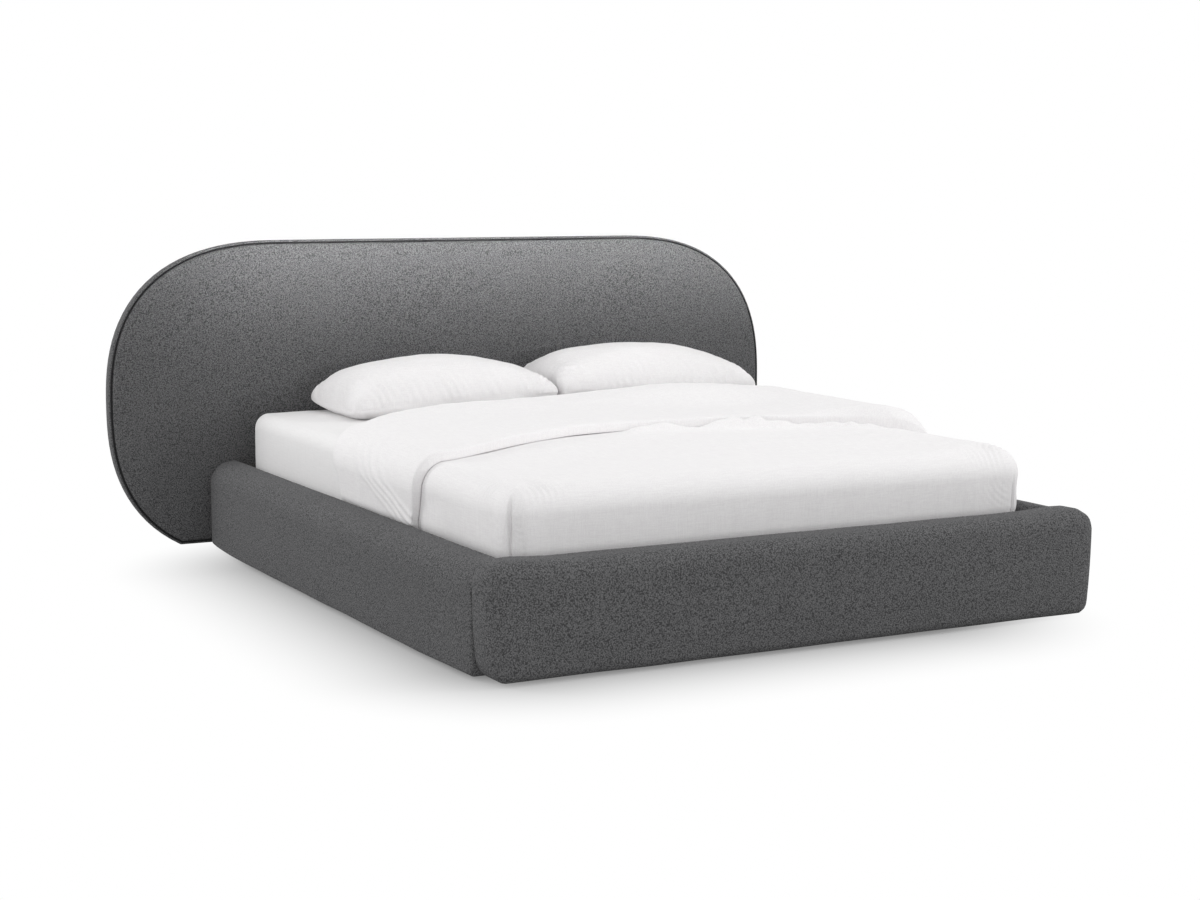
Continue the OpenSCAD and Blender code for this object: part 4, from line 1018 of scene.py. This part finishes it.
# %% Thickness of the two layers
LOW_T = (10 * MM, 17 * MM, 22 * MM)
BAND_T = (10 * MM, 20 * MM, 34 * MM)
LAYER_GAP = 1 * MM
REAR_SWELL = [(-0.97, 0.0), (-0.8, 0.003), (-0.6, 0.009), (-0.47, 0.013), (-0.32, 0.017),
              (0.0, 0.020), (0.12, 0.025), (0.24, 0.032), (0.36, 0.044), (0.46, 0.050),
              (0.62, 0.048), (0.72, 0.043), (0.80, 0.040), (0.97, 0.038)]
SIDE_SWELL = 0.037


def thick(sizes, height):
    """Thickness in the gap, on the hanging side and on top of the mattress."""
    in_gap, hanging, on_top = sizes
    return in_gap + (hanging - in_gap) * ease(height, 0.262, 0.305) \
        + (on_top - hanging) * ease(height, 0.30, 0.455)


print("both layers in the gap:", (LOW_T[0] + LAYER_GAP + BAND_T[0]) / MM, "mm")

# %% [markdown]
# Now the closed line. Each of its stretches gives two things for every column: how far along
# the bed it is, and how far out from the mattress.

# %% Follow the duvet round its section
def strip(shares, start, end):
    return start[:, None] + (end - start)[:, None] * shares[None, :]


def grid_of(rows):
    return np.repeat(across[:, None], rows, axis=1)


edge_y = line_at(FREE_EDGE, across)
rear_y = line_at(REAR_FOLD, across)
UNDER = 0.8 * MM
visible = steps(0, FINE, ARC_L + DROP_L + EDGE_ZONE)
foot_part = foot_hem + np.repeat(visible[None, :], len(across), axis=0)
to_edge = 1 - (1 - np.linspace(0, 1, 57)[1:]) ** 1.5
calm = strip(to_edge, np.full(len(across), foot_hem + visible[-1]), edge_y)
hidden = strip(np.linspace(0, 1, 15)[1:], edge_y, rear_y - 20 * MM)
low_b = np.concatenate([foot_part, calm, hidden], axis=1)
low_a = grid_of(low_b.shape[1])
point, _ = lay(low_a, low_b)
low_out = thick(LOW_T, point[..., 2]) + low_wrinkles(low_a, low_b, edge_y[:, None])
low_out += pleat(low_a, low_b)
under_band = ease(low_b - edge_y[:, None], 0, 0.03)
low_out = low_out * (1 - under_band) + thick(LOW_T, point[..., 2]) * under_band
low_out = np.maximum(low_out, 4 * MM)
under_out = np.full_like(low_out, UNDER)
print("lower layer", low_b.shape)

# %% [markdown]
# The band lies on the lower layer. Its free edge is a sewn edge: nearly square, with a row of
# stitches 9 mm from it that presses a shallow line. Its rear is rounder, because there the
# duvet turns over without a seam. A quarter of the thickness lies below the free edge's
# nose, and the rest above it.

# %% The band over it
CLOSE_ROWS = np.array([0, 1, 2.5, 4.5, 7, 10, 13, 16, 20, 25, 31, 38]) * MM
band_b = np.concatenate([edge_y[:, None] + CLOSE_ROWS,
                         strip(np.linspace(0, 1, 49)[1:], edge_y + CLOSE_ROWS[-1],
                               rear_y - CLOSE_ROWS[-1])[:, :-1],
                         rear_y[:, None] - CLOSE_ROWS[::-1]], axis=1)
band_a = grid_of(band_b.shape[1])
point_b, _ = lay(band_a, band_b)
floor_out = thick(LOW_T, point_b[..., 2]) + LAYER_GAP
puff = thick(BAND_T, point_b[..., 2])
rear_rise = ease(band_b - rear_y[:, None], -0.36, -0.07)
side_rise = ease(band_a, 0.50, 0.76) * ease(band_b - edge_y[:, None], -0.02, 0.06)
swell = line_at(REAR_SWELL, across)[:, None] * rear_rise
swell += SIDE_SWELL * side_rise * (1 - rear_rise)
puff += swell * ease(point_b[..., 2], 0.37, 0.44)
ROUND_IN = 17 * MM
REAR_IN = 34 * MM
NOSE_LOW = 0.25
NOSE_SQUARE = 4
STITCH_IN = 9 * MM
STITCH_W = 2.5 * MM
STITCH_DEEP = 0.9 * MM
from_edge = np.abs(band_b - edge_y[:, None])
from_rear = np.abs(rear_y[:, None] - band_b)
nose = (1 - (1 - np.clip(from_edge / ROUND_IN, 0, 1)) ** NOSE_SQUARE) ** (1 / NOSE_SQUARE)
tail = np.sqrt(1 - (1 - np.clip(from_rear / REAR_IN, 0, 1)) ** 2)
middle_out = floor_out + puff * NOSE_LOW
band_top = middle_out + puff * (1 - NOSE_LOW) * nose * (0.35 + 0.65 * tail)
band_top += band_wrinkles(band_a, band_b, edge_y[:, None]) * nose * tail
stitches = np.exp(-((from_edge - STITCH_IN) / STITCH_W) ** 2)
band_top -= STITCH_DEEP * stitches * (1 + 0.5 * waves(band_a, band_b, 0.1, 0.5, 28))
band_under = middle_out - puff * NOSE_LOW * nose
print("band", band_b.shape)


# %% [markdown]
# The stretches are joined into one closed tube of points: lower layer from the foot to the
# hidden crease, the band's underside back to the free edge, the band's top to the rear, and
# the underside back to the foot. The two ends of the tube, at the side hems, are closed by
# pairing the two skins of each layer.

# %% Build the duvet's mesh
def place_cloth(a, b, out):
    point, normal = lay(a, b)
    return point + normal * out[..., None]


REAR_BULGE = 18 * MM
rear_turn = np.linspace(0, pi, 9)[1:-1]
top_rear = band_top[:, -1]
turn_mid = (top_rear + UNDER) / 2
turn_half = (top_rear - UNDER) / 2
turn_b = rear_y[:, None] + REAR_BULGE * np.sin(rear_turn)[None, :]
turn_out = turn_mid[:, None] + turn_half[:, None] * np.cos(rear_turn)[None, :]
skins = [
    place_cloth(low_a, low_b, low_out),
    place_cloth(band_a[:, ::-1], band_b[:, ::-1], band_under[:, ::-1])[:, 2:],
    place_cloth(band_a, band_b, band_top)[:, 1:],
    place_cloth(grid_of(len(rear_turn)), turn_b, turn_out),
    place_cloth(low_a[:, ::-1], low_b[:, ::-1], under_out[:, ::-1]),
]
tube = np.concatenate(skins, axis=1)
cols, rows = tube.shape[:2]
index = np.arange(cols * rows).reshape(cols, rows)
right = np.roll(index, -1, axis=1)
quads = np.stack([index[:-1], right[:-1], right[1:], index[1:]], -1).reshape(-1, 4)
print("tube of", cols, "by", rows, "points")

# %% Close its two side hems
n_low = low_b.shape[1]
n_under = skins[1].shape[1]
n_top = skins[2].shape[1]
n_turn = skins[3].shape[1]
paired = min(n_under, n_top)
caps = []
for column, flip in ((0, False), (cols - 1, True)):
    ring = [int(k) for k in index[column]]
    low_skin = ring[:n_low]
    under_skin = ring[n_low:n_low + n_under][::-1]
    top_skin = ring[n_low + n_under:n_low + n_under + n_top]
    turn_skin = ring[n_low + n_under + n_top:n_low + n_under + n_top + n_turn]
    mat_skin = ring[n_low + n_under + n_top + n_turn:][::-1]
    faces = [[low_skin[k], low_skin[k + 1], mat_skin[k + 1], mat_skin[k]]
             for k in range(n_low - 1)]
    faces += [[under_skin[k], under_skin[k + 1], top_skin[k + 1], top_skin[k]]
              for k in range(paired - 1)]
    heel = [low_skin[-1], under_skin[-1]] + top_skin[paired - 1:] + turn_skin + [mat_skin[-1]]
    faces.append(heel[::-1])
    caps += [face[::-1] for face in faces] if flip else faces

mesh = bpy.data.meshes.new("duvet_turned_back")
mesh.from_pydata(tube.reshape(-1, 3).tolist(), [], quads[:, ::-1].tolist() + caps)
mesh.update()
duvet = bpy.data.objects.new("duvet_turned_back", mesh)
bpy.context.scene.collection.objects.link(duvet)
edit(duvet)
close_edit()
smooth(duvet, 80)
dress(duvet, duvet_linen, "platform", "duvet_linen", "duvet")

# %% [markdown]
# ## The pillows
#
# A pillow is two rectangles of cloth sewn together and filled. Blown up from flat by a cloth
# simulation it comes out as a stiff lens. A filled pillow is fatter: it rises steeply from its
# seam and is nearly flat on top. So a thin block is first swollen to that form by a rule, and
# a short simulation with pressure then lets the cloth find its own tension, which dimples the
# seams. No point may go further than a few millimetres, so that the pillow keeps its size.

# %% The plump form
PILLOW_HALF = (0.384, 0.222)
PILLOW_FULL = 0.1455
PILLOW_BELOW = 0.055
PILLOW_PITCH = 9 * MM
SEAM_T = 2.4 * MM
CORNER_IN = 18 * MM
ENDS_HOLLOW = 0.053
SIDES_HOLLOW = 0.094
FULL_ACROSS = 0.545
FULL_FRONT = 0.85
FULL_REAR = 1.45


def plump(u, v, above):
    """Where a point of the flat pillow goes, u and v from -1 to 1 across and along it."""
    turn_u, turn_v = u * pi / 2, v * pi / 2
    across_u, along_v = sin(turn_u), sin(turn_v)
    corner = CORNER_IN * (across_u * along_v) ** 6
    x = across_u * (PILLOW_HALF[0] * (1 - ENDS_HOLLOW * (1 - along_v ** 2)) - corner)
    y = along_v * (PILLOW_HALF[1] * (1 - SIDES_HOLLOW * (1 - across_u ** 2)) - corner)
    full_v = FULL_FRONT if v < 0 else FULL_REAR
    swell = max(0, cos(turn_u)) ** FULL_ACROSS * max(0, cos(turn_v)) ** full_v
    z = SEAM_T / 2 + PILLOW_FULL * swell if above else -SEAM_T / 2 - PILLOW_BELOW * swell
    return Vector((x, y, z))


pillow = block("left_pillow_soft", (-PILLOW_HALF[0], -PILLOW_HALF[1], -SEAM_T),
               (PILLOW_HALF[0], PILLOW_HALF[1], SEAM_T))
edit(pillow)
slice_up(0, spread(-PILLOW_HALF[0], PILLOW_HALF[0], PILLOW_PITCH))
slice_up(1, spread(-PILLOW_HALF[1], PILLOW_HALF[1], PILLOW_PITCH))
close_edit()
for vertex in pillow.data.vertices:
    x, y, z = vertex.co
    vertex.co = plump(x / PILLOW_HALF[0], y / PILLOW_HALF[1], z > 0)
print("pillow with", len(pillow.data.vertices), "points")


# %% Let the cloth find its tension
PILLOW_CAP = 7 * MM


def inflate(piece, frames, cap):
    before = [vertex.co.copy() for vertex in piece.data.vertices]
    only(piece)
    cloth = piece.modifiers.new("cloth", "CLOTH")
    cloth.settings.quality = 6
    cloth.settings.mass = 0.2
    cloth.settings.tension_stiffness = 30
    cloth.settings.compression_stiffness = 30
    cloth.settings.shear_stiffness = 8
    cloth.settings.bending_stiffness = 0.12
    cloth.settings.use_pressure = True
    cloth.settings.uniform_pressure_force = 4.0
    cloth.settings.effector_weights.gravity = 0
    cloth.point_cache.frame_start = 1
    cloth.point_cache.frame_end = frames
    scene = bpy.context.scene
    for k in range(1, frames + 1):
        scene.frame_set(k)
    bpy.ops.object.modifier_apply(modifier=cloth.name)
    scene.frame_set(1)
    moves = [vertex.co - start for vertex, start in zip(piece.data.vertices, before)]
    for vertex, start, move in zip(piece.data.vertices, before, moves):
        vertex.co = start + move * min(1, cap / max(move.length, 1e-9))
    print("simulated moves up to", round(max(m.length for m in moves) / MM, 1), "mm, kept to",
          cap / MM)


inflate(pillow, 20, PILLOW_CAP)
only(pillow)
rounder = pillow.modifiers.new("rounder", "SUBSURF")
rounder.levels = rounder.render_levels = 1
bpy.ops.object.modifier_apply(modifier=rounder.name)

# %% [markdown]
# The cloth of a pillowcase gathers along its seams and lies in fine arcs round its corners,
# where there is too much of it. Each pillow gets its own, from its own seed. A fold has a
# round back and a narrow valley, which the root of a sine wave gives. The gathers climb a
# hand's width from the seam and then run out. Heights are in millimetres again.

# %% Gathers and arcs
GATHER = 31 * MM
NOSE_ARC = 23 * MM


def fold(turns):
    return np.abs(np.sin(pi * turns)) ** 0.7


def pillow_wrinkles(spots, seed):
    x, y, high = spots.T
    reach = np.full(len(x), 9.0)
    for side in (-1, 1):
        for end in (-1, 1):
            to_nose = np.hypot(np.hypot(x - side * (PILLOW_HALF[0] - CORNER_IN),
                                        y - end * (PILLOW_HALF[1] - CORNER_IN)), high)
            reach = np.minimum(reach, to_nose)
    patchy = 0.6 + 0.4 * waves(x, y, 0.12, 0.12, seed)
    arcs = ease(reach, 0.04, 0.07) * (1 - ease(reach, 0.10, 0.20)) * patchy
    lift = 4.5 * arcs * fold(reach / NOSE_ARC + 0.25 * waves(x, y, 0.15, 0.15, seed + 1))
    lift += 4.0 * np.exp(-((reach - 0.045) / 0.025) ** 2)
    climb = ease(high, 0.004, 0.02) * (1 - ease(high, 0.05, 0.13))
    clear = ease(reach, 0.06, 0.12)
    front = ease(np.abs(y) / PILLOW_HALF[1], 0.35, 0.7)
    lean = x + 0.35 * high + 0.008 * waves(x, y, 0.2, 0.1, seed + 2)
    lift += 6.0 * climb * clear * front * patchy * fold(lean / GATHER)
    ends = ease(np.abs(x) / PILLOW_HALF[0], 0.6, 0.85)
    lean = y + 0.3 * high + 0.006 * waves(x, y, 0.1, 0.2, seed + 3)
    lift += 4.0 * climb * clear * ends * patchy * fold(lean / GATHER)
    lift += 2.2 * waves(x, y, 0.24, 0.16, seed + 4) + 0.5 * waves(x, y, 0.07, 0.05, seed + 5)
    return lift * MM * ease(high, -0.002, 0.006)


print("gathers every", GATHER / MM, "mm, arcs every", NOSE_ARC / MM, "mm")

# %% [markdown]
# The two pillows are one form, but each lies in its own way: its seam's height, how it rolls,
# pitches and twists, how slim its right end is and how far that end reaches. The right
# pillow stands over the mattress's edge. Beyond the edge its underside is raised, most of
# all towards the headboard, so that it clears the rail when the platform lifts.

# %% Lay the two pillows down
REST_Z = mat_high.z + MATTRESS_RISE + 1.5 * MM
PILLOW_MID_Y = 0.7775
OVER_FROM, OVER_TO = 0.76, 0.83
HEAD_FROM, HEAD_TO = 0.72, 0.98
HEAD_LIFT = 44 * MM
PILLOWS = {
    "left_pillow": dict(at=-0.239, seam=0.489, roll=-0.003, pitch=-0.013, corner=0.001,
                        twist=0.017, slim=0.4, reach=1.0, seed=31),
    "right_pillow": dict(at=0.5075, seam=0.5036, roll=-0.012, pitch=-0.008, corner=-0.007,
                         twist=0.003, slim=0.25, reach=1.09, seed=41),
}
pillows = {"left_pillow": pillow, "right_pillow": copy_of(pillow, "right_pillow_soft")}
for node, way in PILLOWS.items():
    piece = pillows[node]
    spots = np.array([vertex.co for vertex in piece.data.vertices])
    normals = np.array([vertex.normal for vertex in piece.data.vertices])
    spots += normals * pillow_wrinkles(spots, way["seed"])[:, None]
    u, v = spots[:, 0] / PILLOW_HALF[0], spots[:, 1] / PILLOW_HALF[1]
    right_end = np.clip(u, 0, 0.995)
    spots[:, 2] *= np.where(spots[:, 2] > 0, (1 - right_end ** 2) ** (way["slim"] / 2), 1)
    spots[:, 0] *= np.where(u > 0, way["reach"], 1)
    over_edge = ease(spots[:, 0] + way["at"], OVER_FROM, OVER_TO)
    spots[:, 2] *= np.where(spots[:, 2] < 0, 1 - 0.9 * over_edge, 1)
    spots[:, 2] += way["seam"] + way["roll"] * u + way["pitch"] * v \
        + way["corner"] * (u * v) ** 2 - way["twist"] * u * v
    spots[:, 0] += way["at"]
    spots[:, 1] += PILLOW_MID_Y
    lowest = REST_Z + HEAD_LIFT * over_edge * ease(spots[:, 1], HEAD_FROM, HEAD_TO)
    spots[:, 2] = np.maximum(spots[:, 2], lowest)
    piece.data.vertices.foreach_set("co", spots.ravel())
    piece.data.update()
    smooth(piece, 80)
    dress(piece, pillow_linen, "platform", "pillow_linen", node)
    print(node, "from", spots.min(axis=0).round(3), "to", spots.max(axis=0).round(3))

# %% [markdown]
# ## The pull strap
#
# A loop of webbing at the foot end lifts the platform. It is a folded strip, so it has two
# layers with a round fold on top.

# %% Fold the strap
strap_low, strap_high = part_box("pull_strap")
strap = block("pull_loop", strap_low, strap_high)
edit(strap)
pick("EDGE", lambda mid, edge: near(mid.z, strap_high.z)
     and abs(edge.verts[0].co.x - edge.verts[1].co.x) > 10 * MM)
bpy.ops.mesh.bevel(offset=(strap_high.y - strap_low.y) * 0.49, segments=5, affect="EDGES")
slice_up(2, spread(strap_low.z, strap_high.z, 8 * MM))
pick("FACE", lambda mid, face: abs(face.normal.x) > 0.9 and mid.z < strap_high.z - 8 * MM)
bpy.ops.mesh.inset(thickness=1.8 * MM, depth=-3 * MM)
close_edit()
smooth(strap, 40)
dress(strap, webbing, "platform", "strap", "pull_strap")

# %% [markdown]
# ## Floor, backdrop and light
#
# The picture has a white studio: a bright floor that keeps a soft shadow, and nothing behind.
# The floor is a plain pale surface. Under the bed and close to it the camera sees that
# surface with its shadow. Over the next 0.7 m it turns to pure white, for the camera only, so
# that the floor has no far edge and no more light falls on the bed.

# %% Lay the floor
FLOOR_SIZE = 40
SHADOW_MID = [-0.178, -0.162, 0]
SHADOW_HALF = [0.55, 0.74, 0]
FADE_OVER = 0.69
bpy.ops.object.select_all(action="DESELECT")
bpy.ops.mesh.primitive_plane_add(size=FLOOR_SIZE, location=(0, 0, 0))
ground = bpy.context.object
ground.name = ground.data.name = "studio_floor"
floor_paint = new_material("matt_white_floor_paint")
place = add(floor_paint, "ShaderNodeTexCoord")
offset = add(floor_paint, "ShaderNodeVectorMath", {"operation": "SUBTRACT"},
             _0=(place, "Object"), _1=SHADOW_MID)
offset = add(floor_paint, "ShaderNodeVectorMath", {"operation": "ABSOLUTE"},
             _0=(offset, "Vector"))
offset = add(floor_paint, "ShaderNodeVectorMath", {"operation": "SUBTRACT"},
             _0=(offset, "Vector"), _1=SHADOW_HALF)
offset = add(floor_paint, "ShaderNodeVectorMath", {"operation": "MAXIMUM"},
             _0=(offset, "Vector"), _1=[0, 0, 0])
distance = add(floor_paint, "ShaderNodeVectorMath", {"operation": "LENGTH"},
               _0=(offset, "Vector"))
fade = add(floor_paint, "ShaderNodeMapRange", {"interpolation_type": "SMOOTHSTEP"},
           Value=(distance, "Value"), **{"From_Max": FADE_OVER})
rays = add(floor_paint, "ShaderNodeLightPath")
glow_share = add(floor_paint, "ShaderNodeMath", {"operation": "MULTIPLY"},
                 _0=(fade, "Result"), _1=(rays, "Is Camera Ray"))
matt = add(floor_paint, "ShaderNodeBsdfDiffuse", Color=linear("#bcbcbc"))
glow = add(floor_paint, "ShaderNodeEmission", Color=linear("#ffffff"), Strength=1.0)
both = add(floor_paint, "ShaderNodeMixShader", _0=(glow_share, "Value"),
           _1=(matt, "BSDF"), _2=(glow, "Emission"))
add(floor_paint, "ShaderNodeOutputMaterial", Surface=(both, "Shader"))
ground.data.materials.append(floor_paint)
print("floor of", FLOOR_SIZE, "m, white from", FADE_OVER, "m outside the shadow")

# %% [markdown]
# The world is white where the camera or a reflection sees it. It lights the bed with less
# than that, as a white room with soft lamps would, so that the white cloth keeps its tones.

# %% White all round
SKY_LIGHT = 0.66
world = bpy.data.worlds.new("white_studio")
bpy.context.scene.world = world
world.use_nodes = True
world.node_tree.nodes.clear()
rays = add(world, "ShaderNodeLightPath")
seen = add(world, "ShaderNodeMath", {"operation": "MAXIMUM"},
           _0=(rays, "Is Camera Ray"), _1=(rays, "Is Glossy Ray"))
seen = add(world, "ShaderNodeMath", {"operation": "MAXIMUM"},
           _0=(seen, "Value"), _1=(rays, "Is Transmission Ray"))
lit = add(world, "ShaderNodeBackground", Color=linear("#ffffff"), Strength=SKY_LIGHT)
shown = add(world, "ShaderNodeBackground", Color=linear("#ffffff"), Strength=1.0)
both = add(world, "ShaderNodeMixShader", _0=(seen, "Value"), _1=(lit, "Background"),
           _2=(shown, "Background"))
add(world, "ShaderNodeOutputWorld", Surface=(both, "Shader"))
print("sky at", SKY_LIGHT)

# %% [markdown]
# Even light would hide the folds in the white cloth. Large soft boxes at the right and at the
# left rake across it and give each fold a light and a dark side, and one hangs above. The
# headboard is lighter along its top, so two narrow strips with a small spread light only
# that. Each line has the place, the point it is aimed at, the size, the power in watts and
# the spread in degrees.

# %% Hang the lamps
LAMPS = [
    ("strip_box_for_the_headboard", (0.3, -4.5, 1.25), (0.2, 1.1, 1.1), (2.6, 0.3), 3.9, 14),
    ("narrow_strip_for_its_top", (0.3, -4.5, 1.25), (0.3, 1.1, 1.2), (2.6, 0.3), 9.2, 10),
    ("overhead_box", (0.0, -0.2, 3.2), (0.0, 0.0, 0.4), (2.5, 2.5), 15, 180),
    ("right_box", (4.2, -3.2, 2.6), (0.4, -0.6, 0.4), (2.2, 2.2), 88, 180),
    ("left_box", (-3.6, -4.2, 1.2), (-0.9, -0.8, 0.2), (2.2, 2.2), 40, 180),
    ("left_box_behind", (-3.5, 1.6, 1.8), (-0.8, 0.6, 0.4), (1.5, 1.5), 36, 180),
]
for name, at, target_at, lamp_size, watts, spread_deg in LAMPS:
    lamp = bpy.data.lights.new(name, "AREA")
    lamp.shape = "ELLIPSE" if lamp_size[0] == lamp_size[1] else "RECTANGLE"
    lamp.size, lamp.size_y = lamp_size
    lamp.energy = watts
    lamp.spread = radians(spread_deg)
    holder = bpy.data.objects.new(name, lamp)
    holder.location = at
    aim = Vector(target_at) - Vector(at)
    holder.rotation_euler = aim.to_track_quat("-Z", "Y").to_euler()
    holder.visible_camera = False
    bpy.context.scene.collection.objects.link(holder)
print("lamps:", len(LAMPS))

# %% [markdown]
# ## Finish
#
# Last, the scene is brought up to date.

# %% Bring the scene up to date
bpy.context.view_layer.update()
